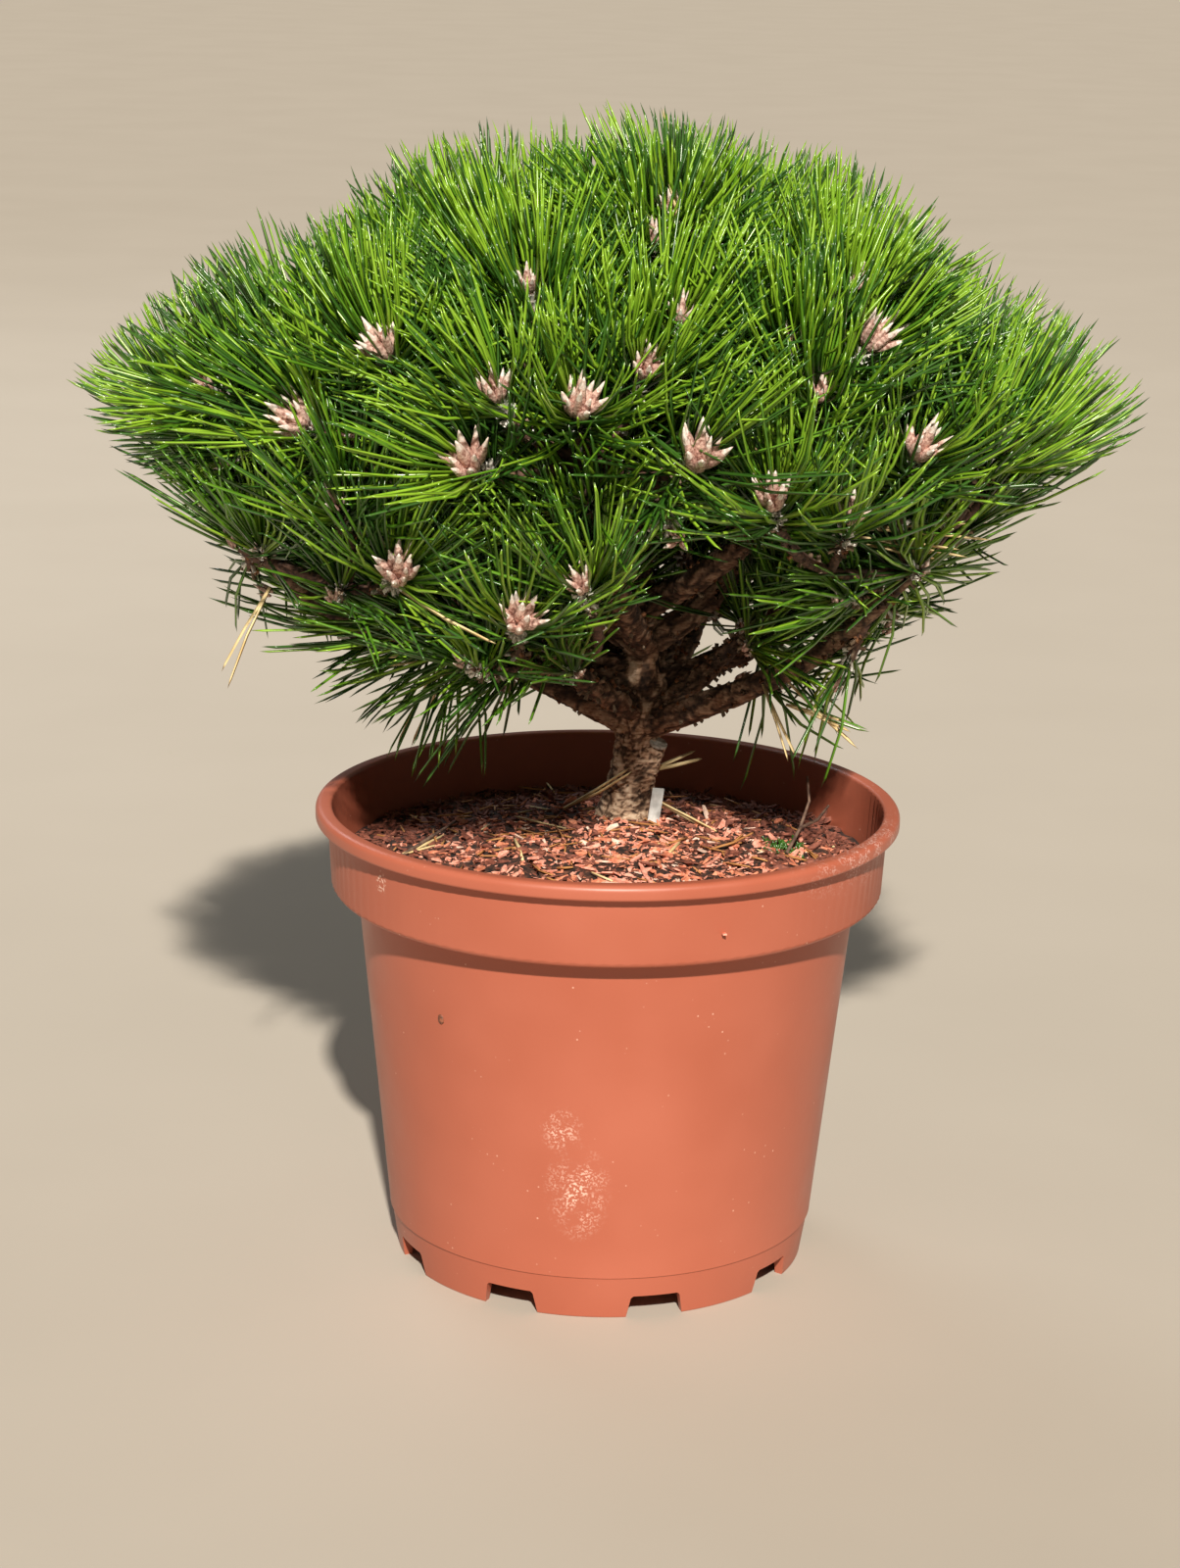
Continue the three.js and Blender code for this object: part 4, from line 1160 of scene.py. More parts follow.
def crown_level(points):
    """1 on the crown's surface: a blunt cone above, and one that narrows downward below."""
    spot = from_middle(points)
    out = np.hypot(spot[..., 0], spot[..., 1])
    power = CROWN.roundness
    above = (out ** power + np.abs(spot[..., 2]) ** power) ** (1 / power)
    below = out / np.interp(np.asarray(points)[..., 2], CONE_HEIGHTS, CONE_SHARES)
    return np.maximum(above, below)


print("level of the trunk's tip:", round(float(crown_level(TRUNK_TIP)), 2))

# %% [markdown]
# A shoot of the CAD model bends from its mass's fork to its tip. Here every shoot also seeks the
# light. Its tip faces out of the crown's middle and upward, and it is drawn back towards its fork
# until its needles end near the crown's surface, some a little further out than others, which
# gives the crown its tufts.

# %% One shoot
SHOOT_BEND = 0.5
SHOOT_SLACK = 0.15
STEEPEST, FLATTEST = 1.54, 0.74
LOW_DROOP = 0.4
TIP_JITTER = 0.38
NEEDLES_PAST_TIP = 48
PAST_SHOWN_TIP = 34
REACH_LEVELS = (0.86, 1.05)
DRAWS_BACK = 24
DRAWN_BACK = 0.03
OUTERMOST_TIP = 0.92


def light_way(tip, draw):
    """Upward in the crown's middle and more outward near its edge, with some chance in it."""
    spot = from_middle(tip)
    out = min(1.0, math.hypot(spot[0], spot[1]))
    azimuth = math.atan2(spot[1], spot[0]) + TIP_JITTER * 4 * (next(draw) - 0.5)
    climb = between(STEEPEST, FLATTEST, out) + TIP_JITTER * 2 * (next(draw) - 0.5)
    climb += LOW_DROOP * min(0.0, spot[2]) * CROWN.down / CROWN.up
    return np.array([math.cos(climb) * math.cos(azimuth), math.cos(climb) * math.sin(azimuth),
                     math.sin(climb)])


def new_shoot(mass, fork, tip, draw, order, shown=0.0, facing=None):
    """A shoot from a fork to a tip, drawn back until its needles fit the crown."""
    if facing is None:
        facing = light_way(tip, draw)
    limit = REACH_LEVELS[1] if shown else between(*REACH_LEVELS, next(draw))
    past = PAST_SHOWN_TIP if shown else NEEDLES_PAST_TIP
    for i in range(DRAWS_BACK):
        if crown_level(tip + facing * past) < limit and crown_level(tip) < OUTERMOST_TIP:
            break
        tip = between(tip, fork, DRAWN_BACK)
    reach = np.linalg.norm(tip - fork)
    bend = between(tip - SHOOT_BEND * reach * facing, fork, SHOOT_SLACK)
    return SimpleNamespace(mass=mass, line=(fork, bend, tip), reach=reach, facing=facing,
                           order=order, shown=shown)


def heading(shoot, share):
    """The way a shoot points at one or many places along it."""
    step = 0.02
    return unit(bezier(shoot.line, np.asarray(share) + step)
                - bezier(shoot.line, np.asarray(share) - step))


# %% [markdown]
# For side shoots the rule is used once more, smaller: a shoot's upper part is the fork, its tip
# the middle, and a few tips spread round it. Short shoots stand on the boughs themselves, in the
# shade.

# %% Side shoots
SIDE_SHOOTS = 6
SIDE_SPREAD = 46
SIDE_DROP = 8
SIDE_FORK = 0.35
LIMB_SHARES = (0.34, 0.46, 0.58, 0.7, 0.84)
LIMB_SHOOT = 48
LIMB_TRIES = 7


def side_shoots(shoot, draw):
    """The same rule again: side shoots that part low on a shoot and spread round its tip."""
    middle = shoot.line[2] - shoot.facing * SIDE_DROP
    fork = bezier(shoot.line, SIDE_FORK)
    tips = shoot_tips(middle, unit(from_middle(middle)), SIDE_SHOOTS, SIDE_SPREAD, draw)
    return [new_shoot(shoot.mass, fork, tip, draw, 1) for tip in tips]


def limb_shoots(mass, draw):
    """Short shoots that stand on a bough, in the shade under the crown."""
    for share in LIMB_SHARES * LIMB_TRIES:
        foot = bezier(mass.line, share)
        turn = 2 * math.pi * next(draw)
        away = np.array([math.cos(turn), math.sin(turn), 0.2 + 0.8 * next(draw)])
        yield new_shoot(mass, foot, foot + unit(away) * LIMB_SHOOT, draw, 2)


# %% [markdown]
# Low at the front the crown is open and the trunk shows, so no shoot ends there, and nothing grows
# round the trunk's foot. A shoot that comes too close to another or touches a limb is left out.

# %% Where shoots may grow
WINDOW = SimpleNamespace(left=20, right=60, back=-28, top=415, left_top=380, left_slope=0.85,
                         right_top=350, right_slope=0.4)
BARE_FOOT = SimpleNamespace(x=12, y=16, radius=58, top=332)
LEAST_APART = 34
SHOWN_ROOM = 10
LIMB_ROOM = 3
SHORTEST_SHOOT = 22


def in_window(points):
    """Whether points lie where the crown is open low at the front, a gap that widens downward."""
    x, y, z = points.T
    left = WINDOW.left - WINDOW.left_slope * np.maximum(0, WINDOW.left_top - z)
    right = WINDOW.right + WINDOW.right_slope * np.maximum(0, WINDOW.right_top - z)
    return (left < x) & (x < right) & (y < WINDOW.back) & (z < WINDOW.top)


def at_bare_foot(points):
    """Whether points lie round the trunk's foot, where nothing grows."""
    away = np.hypot(points[:, 0] - BARE_FOOT.x, points[:, 1] - BARE_FOOT.y)
    return (away < BARE_FOOT.radius) & (points[:, 2] < BARE_FOOT.top)


def grows(shoot, grown):
    """Whether a shoot has room among the others and doesn't touch a limb."""
    clear = room_from_limbs(bezier(shoot.line, np.linspace(0.6, 1, 4))).min() > LIMB_ROOM
    gaps = [np.linalg.norm(shoot.line[2] - other.line[2]) - SHOWN_ROOM * other.shown
            for other in grown]
    apart = min(gaps, default=999)
    tip = shoot.line[2][None, :]
    bare = in_window(tip)[0] or at_bare_foot(tip)[0]
    return clear and apart > LEAST_APART and shoot.reach > SHORTEST_SHOOT and not bare


# %% [markdown]
# The shoots grow in an order that gives the best places to those that matter most: first those to
# the bud clusters that stand out in the photograph, each from the nearest mass's fork. A few low
# ones hang down over the pot. Next come the CAD model's own, and last the side shoots and those
# on the boughs. Each cluster is listed as its place in millimetres and its size.

# %% Grow the shoots
BUDS_SHOWN = [
    (-113, -139, 500, 1.0), (-156, -133, 461, 1.0), (-56, -177, 489, 0.85), (-15, -189, 482, 1.0),
    (-69, -190, 454, 1.1), (38, -194, 462, 1.1), (14, -177, 498, 0.85), (30, -144, 521, 0.7),
    (24, -67, 562, 0.7), (15, -85, 551, 0.6), (71, -187, 443, 0.95), (145, -138, 457, 1.0),
    (126, -115, 505, 1.0), (-87, -176, 400, 1.0), (-42, -181, 382, 1.0), (-18, -195, 405, 0.75),
    (93, -157, 488, 0.65), (188, -109, 461, 0.6), (-43, -123, 530, 0.7), (115, -84, 530, 0.6),
    (-203, -89, 471, 0.6), (76, -140, 511, 0.55), (-226, -24, 466, 0.5),
]
HANGING = [(-84, -98, 334), (-48, -96, 326), (80, -46, 330), (112, -58, 344), (146, -66, 356),
           (98, -88, 352)]
HANGING_DROP = 110
FORK_BELOW = (25, 3)


def fork_cost(fork, tip):
    """How far a fork is from a tip, with forks that lie higher than the tip made to look far."""
    return np.linalg.norm(tip - fork) + FORK_BELOW[1] * max(0, fork[2] + FORK_BELOW[0] - tip[2])


draw = seeded(SEED)
shoots = []
for *tip, size in BUDS_SHOWN:
    mass = min(masses, key=lambda other: fork_cost(other.fork, tip))
    shoots.append(new_shoot(mass, mass.fork, np.array(tip, float), draw, 0, shown=size))
for tip in np.array(HANGING, float):
    mass = min(masses, key=lambda other: np.linalg.norm(other.fork - tip))
    facing = unit(tip * (1, 1, 0) - UP * HANGING_DROP)
    shoots.append(new_shoot(mass, mass.fork, tip, draw, 2, facing=facing))
for mass in masses:
    for tip in mass.tips:
        shoot = new_shoot(mass, mass.fork, tip, draw, 0)
        if grows(shoot, shoots):
            shoots.append(shoot)
first_shoots = len(shoots)
for shoot in list(shoots):
    for side in side_shoots(shoot, draw):
        if grows(side, shoots):
            shoots.append(side)
for mass in masses:
    if mass.leave:
        for shoot in limb_shoots(mass, draw):
            if grows(shoot, shoots):
                shoots.append(shoot)
print("shoots:", first_shoots, "and side shoots:", len(shoots) - first_shoots)

# %% [markdown]
# ## Needles
#
# This pine's needles stand in pairs, each pair from one papery sheath, for the last few
# centimetres of every shoot. A needle has three sides and two loops and keeps its width almost to
# the point.

# %% One needle
def needle_prototype():
    """A three-sided needle from 0 to 1 along Z, full width almost to its short point."""
    shape = bmesh.new()
    bmesh.ops.create_cone(shape, cap_ends=False, segments=3, radius1=0.86, radius2=1.0, depth=0.5,
                          matrix=Matrix.Translation((0, 0, 0.25)))
    for height, size in ((0.91, 0.78), (1.0, 0.0)):
        rim = [edge for edge in shape.edges
               if edge.is_boundary and edge.verts[0].co.z > 0.3 and edge.verts[1].co.z > 0.3]
        made = bmesh.ops.extrude_edge_only(shape, edges=rim)["geom"]
        top = [item for item in made if isinstance(item, bmesh.types.BMVert)]
        old = top[0].co.z
        bmesh.ops.translate(shape, verts=top, vec=(0, 0, height - old))
        bmesh.ops.scale(shape, verts=top, vec=(max(size, 1e-4), max(size, 1e-4), 1))
    bmesh.ops.remove_doubles(shape, verts=shape.verts, dist=1e-3)
    bmesh.ops.holes_fill(shape, edges=[edge for edge in shape.edges if edge.is_boundary], sides=3)
    bmesh.ops.recalc_face_normals(shape, faces=shape.faces)
    return prototype(shape)


needle = needle_prototype()
print("faces in one needle:", len(needle.starts))

# %% [markdown]
# Round the twig the pairs follow the golden turn. The lowest lean far out and the youngest close
# round the buds. A needle's colour goes by the spray that it stands in, not by a pattern: some
# shoots are fresher and some deeper at random, and over that the greens paint light and shade.
# Shoots high up, outside and those that stand out take more of the lit green, those on the left
# less, and the lower needles of each shoot take more of the shaded green. A few old needles low
# on a shoot are straw-coloured.

# %% Pairs along a shoot
BUD_LENGTH = 22
NEEDLED_LENGTH = 34
NEEDLED_MOST = 0.85
ROOT_OUT = 1.5
PAIRS_A_SHOOT = (74, 70, 46)
NEEDLE_LENGTH = 74
NEEDLE_LEAST = 0.84
NEEDLE_RANGE = 0.3
LEAN_OLD = 84
LEAN_YOUNG = 22
LEAN_JITTER = 10
GOLDEN_TURN = 2.399963
TURN_START = np.array([0.31, 0.17, 0.94])
TURN_JITTER = 0.25
SHADE_LOSS = 2.6
KEPT_DOWN = (0.16, 0.5)
LOW_TIPS = (440, 60)
LOW_SHARE = 0.5
# Painted shade: the left of the crown, the lower needles of each shoot and a few needles anywhere
# take darker greens.
LEFT_SHADE = 0.24
SHOOT_FOOT_SHADE = 0.75
SHADE_ANYWHERE = 0.06
DEAD = (0.012, 0.016)
# Fresh is the green of painted light and deep the green of painted shade; deep is also the moss's
# own colour.
FRESH_AND_LIT, GREEN, DEEP_AND_SHADED, STRAW, RUST = range(5)


def fresh_and_lit_share(shoot, random):
    """Painted light: the share of a shoot's needles in the lit green, more high up and outside,
    less on the left.
    """
    tip = shoot.line[2]
    # Painted light: more lit green high up, outside and on the shoots that stand out, less on the
    # left.
    fresh_and_lit = 0.3 + 0.8 * (crown_level(tip) - 0.55) + 0.6 * (tip[2] - CROWN.middle[2]) / CROWN.up
    fresh_and_lit += LEFT_SHADE * min(0, from_middle(tip)[0])
    return np.clip(fresh_and_lit + random.normal(0, 0.12) + 0.25 * shoot.shown, 0.24, 0.88)


def pairs_of(shoot, random):
    """The roots, ways and sizes of one shoot's pairs of needles."""
    low = np.clip((LOW_TIPS[0] - shoot.line[2][2]) / LOW_TIPS[1], 0, 1)
    count = int(PAIRS_A_SHOOT[shoot.order] * (1 if shoot.shown else between(1, LOW_SHARE, low)))
    first = 1 - min(NEEDLED_LENGTH / shoot.reach, NEEDLED_MOST)
    last = 1 - 0.82 * BUD_LENGTH / shoot.reach
    young = np.sort(random.uniform(0, 1, count))
    shares = between(first, last, young)
    axes = heading(shoot, shares)
    side = unit(np.cross(axes, TURN_START))
    turns = random.uniform(0, 6.28) + GOLDEN_TURN * np.arange(count)
    turns = turns + random.normal(0, TURN_JITTER, count)
    sides = side * np.cos(turns)[:, None] + np.cross(axes, side) * np.sin(turns)[:, None]
    lean = np.radians(between(LEAN_OLD, LEAN_YOUNG, young ** 0.9)
                      + random.normal(0, LEAN_JITTER, count))[:, None]
    ways = axes * np.cos(lean) + sides * np.sin(lean)
    inward = axes * np.sin(lean) - sides * np.cos(lean)
    lengths = NEEDLE_LENGTH * (NEEDLE_LEAST + NEEDLE_RANGE * random.uniform(0, 1, count))
    lengths *= between(0.88, 1.0, np.sin(young * math.pi))
    fresh_and_lit = fresh_and_lit_share(shoot, random)
    kinds = np.where(random.uniform(0, 1, count) < fresh_and_lit, FRESH_AND_LIT, GREEN)
    # Painted shade: the lower needles of each shoot, and a few on shoots that don't stand out, take
    # the shaded green.
    deep_and_shaded = SHOOT_FOOT_SHADE * (1 - young) + (0.0 if shoot.shown else SHADE_ANYWHERE)
    kinds = np.where(random.uniform(0, 1, count) < deep_and_shaded, DEEP_AND_SHADED, kinds)
    shaded = np.clip(1 + SHADE_LOSS * (ways[:, 2] + between(*KEPT_DOWN, low)), 0.05, 1)
    dead = random.uniform(0, 1, count) < (DEAD[0] + DEAD[1] * low) * (1 - young) ** 2
    kinds = np.where(dead, STRAW, kinds)
    pairs = SimpleNamespace(roots=bezier(shoot.line, shares) + sides * ROOT_OUT, ways=ways,
                            inward=inward, lengths=lengths, kinds=kinds, young=young)
    return chosen(pairs, random.uniform(0, 1, count) < shaded)


# %% [markdown]
# A needle is dealt out twice for each pair. The two part a little and bow away from each other.

# %% Two needles for each pair
NEEDLE_RADIUS = 1.0
PAIR_ANGLE = 0.07
CURVING_UP = 0.24


def two_needles(pairs, random):
    """Both needles of each pair, parting from one root and bowing away from each other."""
    count = len(pairs.roots)
    roll = random.uniform(0, 2 * math.pi, count)[:, None]
    apart = pairs.inward * np.cos(roll) + np.cross(pairs.ways, pairs.inward) * np.sin(roll)
    halves = []
    for sign in (-1, 1):
        part = sign * (PAIR_ANGLE * random.uniform(0.5, 1.5, count))[:, None]
        bow = pairs.inward * random.normal(CURVING_UP, 0.08, count)[:, None] - apart * part * 0.4
        halves.append(SimpleNamespace(
            roots=pairs.roots + apart * sign * 0.5, ways=pairs.ways + apart * part * 1.3,
            sides=apart * sign, lengths=pairs.lengths * random.uniform(0.97, 1.0, count),
            widths=np.full(count, NEEDLE_RADIUS), depths=np.full(count, NEEDLE_RADIUS * 0.8),
            bends=bow, kinds=pairs.kinds,
        ))
    return gathered(halves)


# %% [markdown]
# Needles whose tips would leave the crown are shortened, some more than others so that the edge
# looks frayed, and left out where that would make them stubs. Before the bud clusters that stand
# out the needles part, as they do in the photograph, so each cluster shows with a little of its
# stem.

# %% Fit the needles
SHORTENINGS = 14
SHORTENED = 0.97
SHORTEST_NEEDLE = 0.7
FARTHEST_TIP = 1.02
FRAYED = 0.065
LIMB_CLEAR = 1.2
ALONG_NEEDLE = (0.2, 0.4, 0.6, 0.8, 1.0)
FRONT = np.array([0.0, -0.97, 0.24])
BUD_SPOTS = ((6, 1), (-12, 0.7))
CLEARING = 14
SPARED = 0.06
WINDOW_NEEDLES = 0.3


def before_buds(points):
    """Whether points lie close before a bud cluster that stands out, or before its stem."""
    offset = points[:, None, :] - shown_buds
    along = offset @ FRONT
    beside = np.linalg.norm(offset - along[..., None] * FRONT, axis=2)
    return ((along > 3) & (beside < CLEARING * shown_sizes ** 2)).any(axis=1)


def fitted(needles, random):
    """Shortens needles into the crown's reach. Stubs, needles in a limb or the gap are left out."""
    ways = unit(needles.ways)
    full = needles.lengths.copy()
    low = np.clip((LOW_TIPS[0] - needles.roots[:, 2]) / LOW_TIPS[1], 0.2, 1)
    limits = FARTHEST_TIP + FRAYED * low * random.uniform(-1, 1, len(full))
    for i in range(SHORTENINGS):
        tips = needles.roots + (ways + needles.bends) * needles.lengths[:, None]
        outside = crown_level(tips) > limits
        needles.lengths = np.where(outside, needles.lengths * SHORTENED, needles.lengths)
    keep = needles.lengths > SHORTEST_NEEDLE * full
    spared = random.uniform(0, 1, len(full)) < SPARED
    for share in ALONG_NEEDLE:
        points = needles.roots + (ways + needles.bends * share) * needles.lengths[:, None] * share
        keep &= (room_from_limbs(points) > LIMB_CLEAR) & ~at_bare_foot(points)
        keep &= spared | ~before_buds(points)
        keep &= ~in_window(points) | (random.uniform(0, 1, len(points)) < WINDOW_NEEDLES)
    return chosen(needles, keep)


shown_places = [(shoot.line[2] + shoot.facing * along, shoot.shown * share)
                for shoot in shoots if shoot.shown for along, share in BUD_SPOTS]
shown_buds = np.array([spot for spot, size in shown_places])
shown_sizes = np.array([size for spot, size in shown_places])
print("places before which needles part:", len(shown_buds))

# %% [markdown]
# Five finishes serve for all the needles: three greens with a bright gloss, which are a lit, a
# middle and a shaded copy of one green and so paint light and shade, and the dull straw and rust
# of dead ones. The shaded green is also the moss's own colour.

# %% Needle finishes
GLOSS_TINT = (1.0, 1.0, 0.94, 1)


def glossy(name, dark, light):
    """The mottled finish with a strong gloss, tinted very slightly yellow."""
    finish = mottled(name, dark, light, 14, 0.28)
    shader = finish.node_tree.nodes["Principled BSDF"]
    shader.inputs["Specular Tint"].default_value = GLOSS_TINT
    shader.inputs["Specular IOR Level"].default_value = 1.0
    return finish


# A lit, a middle and a shaded copy of one green: painted light and painted shade.
needle_finishes = [
    glossy("needle_fresh_and_lit", (0.178, 0.365, 0.015), (0.305, 0.515, 0.034)),
    glossy("needle_green", (0.072, 0.20, 0.010), (0.13, 0.30, 0.016)),
    glossy("needle_deep_and_shaded", (0.026, 0.092, 0.010), (0.050, 0.145, 0.015)),
    mottled("needle_straw", (0.66, 0.46, 0.20), (0.86, 0.67, 0.36), 14, 0.6),
    mottled("needle_rust", (0.42, 0.17, 0.05), (0.60, 0.28, 0.09), 14, 0.65),
]
print("needle finishes:", [finish.name for finish in needle_finishes])

# %% [markdown]
# The needles become one piece for each ring, and two, left and right, for the low and the middle
# ring. A shoot that has lost most of its needles to the rules above is left out.

# %% Deal out the needles
FEWEST_LEFT = 0.3

random = np.random.default_rng(29)
leafy, all_pairs, needle_groups = [], [], {}
for shoot in shoots:
    pairs = pairs_of(shoot, random)
    needles = fitted(two_needles(pairs, random), random)
    if len(needles.roots) < FEWEST_LEFT * 2 * len(pairs.roots) and not shoot.shown:
        continue
    leafy.append(shoot)
    all_pairs.append(pairs)
    mass = shoot.mass
    half = "right" if mass.middle[0] > 0 else "left"
    group = f"{mass.level}_{half}" if mass.level in ("low", "middle") else mass.level
    needle_groups.setdefault(group, []).append(needles)
print("shoots left out for want of needles:", len(shoots) - len(leafy))
shoots = leafy
foliage_nodes = sorted(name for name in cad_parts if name.startswith("foliage_"))
for group, needles in needle_groups.items():
    level = group.split("_")[0]
    stands_for = [name for name in foliage_nodes if name.split("_")[1] == level]
    needles = gathered(needles)
    finish_piece(f"needles_{group}", deal(needle, needles), needle_finishes, stands_for)
    print("needles in this piece:", len(needles.roots))


# %% [markdown]
# Twigs are thin tubes along the shoots. The bark of young wood is orange-brown between dark scars
# where old needles fell.

# %% Twigs
TWIG_TIP_RADIUS = 2.1
THICKER, THINNER = 0.5, 0.4
KNOB_HEIGHT = 0.12
KNOBS = 43

twig_tubes = new_tubes(6)
for shoot in shoots:
    shares = np.linspace(0, 1 - 0.8 * BUD_LENGTH / shoot.reach, 9)
    thick = TWIG_RADIUS + THICKER if shoot.order == 0 else TWIG_RADIUS - THINNER
    knobs = 1 + KNOB_HEIGHT * np.sin(shares * KNOBS + len(twig_tubes.splines))
    radii = between(thick, TWIG_TIP_RADIUS, shares) * knobs
    add_tube(twig_tubes, bezier(shoot.line, shares), radii)
twig_bark = mottled("twig_bark", (0.035, 0.018, 0.013), (0.17, 0.085, 0.055), 2.2, 0.8, bump=0.6)
twig_mesh = evaluated(twig_tubes)
twig_mesh.materials.clear()
finish_piece("twigs", twig_mesh, [twig_bark])

# %% [markdown]
# ## Sheaths
#
# The papery sheath at the foot of each pair shows as a pale dot against the dark twig. It is an
# open three-sided cone, whitish on young pairs, grey-brown on old ones, and a short rusty scale
# where the needles have dropped.

# %% Sheaths
SHEATH_LENGTH = 5.5
SHEATH_RADIUS = 1.3
BARE_SHEATHS = 20
BOUGH_SCALES = 90
OLDEST = -0.9
YOUNGEST_ON_TWIG = 0.5
YOUNGEST_ON_BOUGH = 0.2
SHEATH_AGES = (-0.28, 0.45)
SHEATH_ROOM = 20


def bare_sheaths(limb, shares, out, youngest, random):
    """Sheaths whose needles have dropped, at places along a twig or bough."""
    count = len(shares)
    axes = heading(limb, shares)
    sides = unit(np.cross(axes, random.normal(0, 1, (count, 3))))
    lean = random.uniform(0.9, 1.4, count)[:, None]
    return SimpleNamespace(
        roots=bezier(limb.line, shares) + sides * np.reshape(out, (-1, 1)),
        ways=axes * np.cos(lean) + sides * np.sin(lean), inward=axes,
        young=random.uniform(OLDEST, youngest, count),
    )


sheath_shape = bmesh.new()
bmesh.ops.create_cone(sheath_shape, cap_ends=False, segments=3, radius1=0.75, radius2=1.0, depth=1,
                      matrix=Matrix.Translation((0, 0, 0.5)))
sheath = prototype(sheath_shape)
groups = [SimpleNamespace(roots=pairs.roots, ways=pairs.ways, inward=pairs.inward,
                          young=pairs.young) for pairs in all_pairs]
for shoot in shoots:
    shares = random.uniform(0.3, 1 - min(NEEDLED_LENGTH / shoot.reach, 0.6), BARE_SHEATHS)
    groups.append(bare_sheaths(shoot, shares, ROOT_OUT, YOUNGEST_ON_TWIG, random))
for mass in masses:
    if mass.level in BOUGH_LEVELS:
        shares = random.uniform(0.06, 1, BOUGH_SCALES)
        out = between(BOUGH_RADIUS, TWIG_RADIUS, shares ** BOUGH_THINNING) - 1
        groups.append(bare_sheaths(mass, shares, out, YOUNGEST_ON_BOUGH, random))
pairs = gathered(groups)
within = crown_level(pairs.roots + pairs.ways * SHEATH_ROOM) < 1
pairs = chosen(pairs, within & ~in_window(pairs.roots))
count = len(pairs.roots)
sheaths = SimpleNamespace(
    roots=pairs.roots - pairs.ways, ways=pairs.ways, sides=pairs.inward,
    lengths=SHEATH_LENGTH * random.uniform(0.7, 1.2, count) * np.where(pairs.young < 0, 0.6, 1),
    widths=np.full(count, SHEATH_RADIUS), depths=np.full(count, SHEATH_RADIUS),
    bends=np.zeros((count, 3)), kinds=np.digitize(-pairs.young, SHEATH_AGES),
)
sheath_finishes = [
    mottled("sheath_pale", (0.82, 0.76, 0.66), (0.97, 0.94, 0.88), 3, 0.7),
    mottled("sheath_old", (0.16, 0.10, 0.065), (0.36, 0.26, 0.17), 3, 0.8),
    mottled("sheath_rust", (0.20, 0.075, 0.03), (0.42, 0.19, 0.085), 3, 0.8),
]
finish_piece("sheaths", deal(sheath, sheaths), sheath_finishes)

# %% [markdown]
# ## Buds
#
# At each tip stands a cluster of buds, pinkish cream with whitish points. A bud is a plump cone,
# lofted from a few rings and covered in scales: alternate corners of each ring are pushed out, so
# the scales overlap like tiles.

# %% One bud
BUD_SIDES = 8
BUD_RINGS = ((0.0, 0.4), (0.12, 0.8), (0.28, 1.0), (0.48, 0.86), (0.68, 0.56), (0.85, 0.27))
SCALE_OUT = 1.12
SCALE_UP = 0.05


def bud_prototype():
    """One bud from 0 to 1 along Z, with scales pushed out of every ring."""
    shape = bmesh.new()
    for i, (height, size) in enumerate(BUD_RINGS):
        turn = Matrix.Rotation(math.pi / BUD_SIDES * i, 4, "Z")
        ring = bmesh.ops.create_circle(shape, segments=BUD_SIDES, radius=size,
                                       matrix=Matrix.Translation((0, 0, height)) @ turn)["verts"]
        for vert in ring[::2]:
            vert.co.x *= SCALE_OUT
            vert.co.y *= SCALE_OUT
            vert.co.z += SCALE_UP
    bmesh.ops.bridge_loops(shape, edges=shape.edges[:])
    tip = shape.verts.new((0, 0, 1))
    for edge in [e for e in shape.edges if e.is_boundary and min(v.co.z for v in e.verts) > 0.7]:
        shape.faces.new((*edge.verts, tip))
    bmesh.ops.recalc_face_normals(shape, faces=shape.faces)
    return prototype(shape)


bud = bud_prototype()
print("faces in one bud:", len(bud.starts))

# %% [markdown]
# A cluster holds one tall bud with shorter ones leaning out round it. The clusters that stand out
# in the photograph have the most, and the shaded shoots low in the crown carry only three small
# buds. The upper faces of each bud take the whitish finish.

# %% Bud clusters
BUD_RADIUS = 2.85
BUDS_ABOVE = 415
SHOWN_AROUND = (9, 12)
OTHERS_AROUND = (3, 7)
OTHERS_SIZES = (0.6, 0.85)
SHADED_AROUND, SHADED_SIZE = 2, 0.42
BUD_LEANS = (0.46, 0.22)
POINTS_ABOVE = 0.6


def bud_cluster(shoot, random):
    """The central bud and the shorter ones that lean out round it."""
    if shoot.shown:
        around, size = random.integers(*SHOWN_AROUND), shoot.shown
    elif shoot.order < 2 and shoot.line[2][2] > BUDS_ABOVE:
        around, size = random.integers(*OTHERS_AROUND), random.uniform(*OTHERS_SIZES)
    else:
        around, size = SHADED_AROUND, SHADED_SIZE
    axis = heading(shoot, 0.97)
    foot = shoot.line[2] - axis * BUD_LENGTH * 0.7
    side = unit(np.cross(axis, TURN_START))
    turns = random.uniform(0, 6.28) + 2 * math.pi * np.arange(around) / around
    sides = side * np.cos(turns)[:, None] + np.cross(axis, side) * np.sin(turns)[:, None]
    lean = np.where(np.arange(around) % 3, *BUD_LEANS) + random.uniform(-0.1, 0.1, around)
    lean = lean[:, None]
    ways = np.vstack([axis[None, :], axis * np.cos(lean) + sides * np.sin(lean)])
    roots = np.vstack([foot[None, :], foot + sides * 2.6 * size - axis * 1.5])
    lengths = np.append(random.uniform(1.0, 1.15), random.uniform(0.75, 1.0, around))
    lengths *= BUD_LENGTH * size
    widths = BUD_RADIUS * size * np.append(1.0, random.uniform(0.72, 0.9, around))
    return SimpleNamespace(
        roots=roots, ways=ways, sides=np.vstack([side[None, :], sides]), lengths=lengths,
        widths=widths, depths=widths, bends=random.normal(0, 0.03, (around + 1, 3)),
        kinds=np.zeros(around + 1, int),
    )


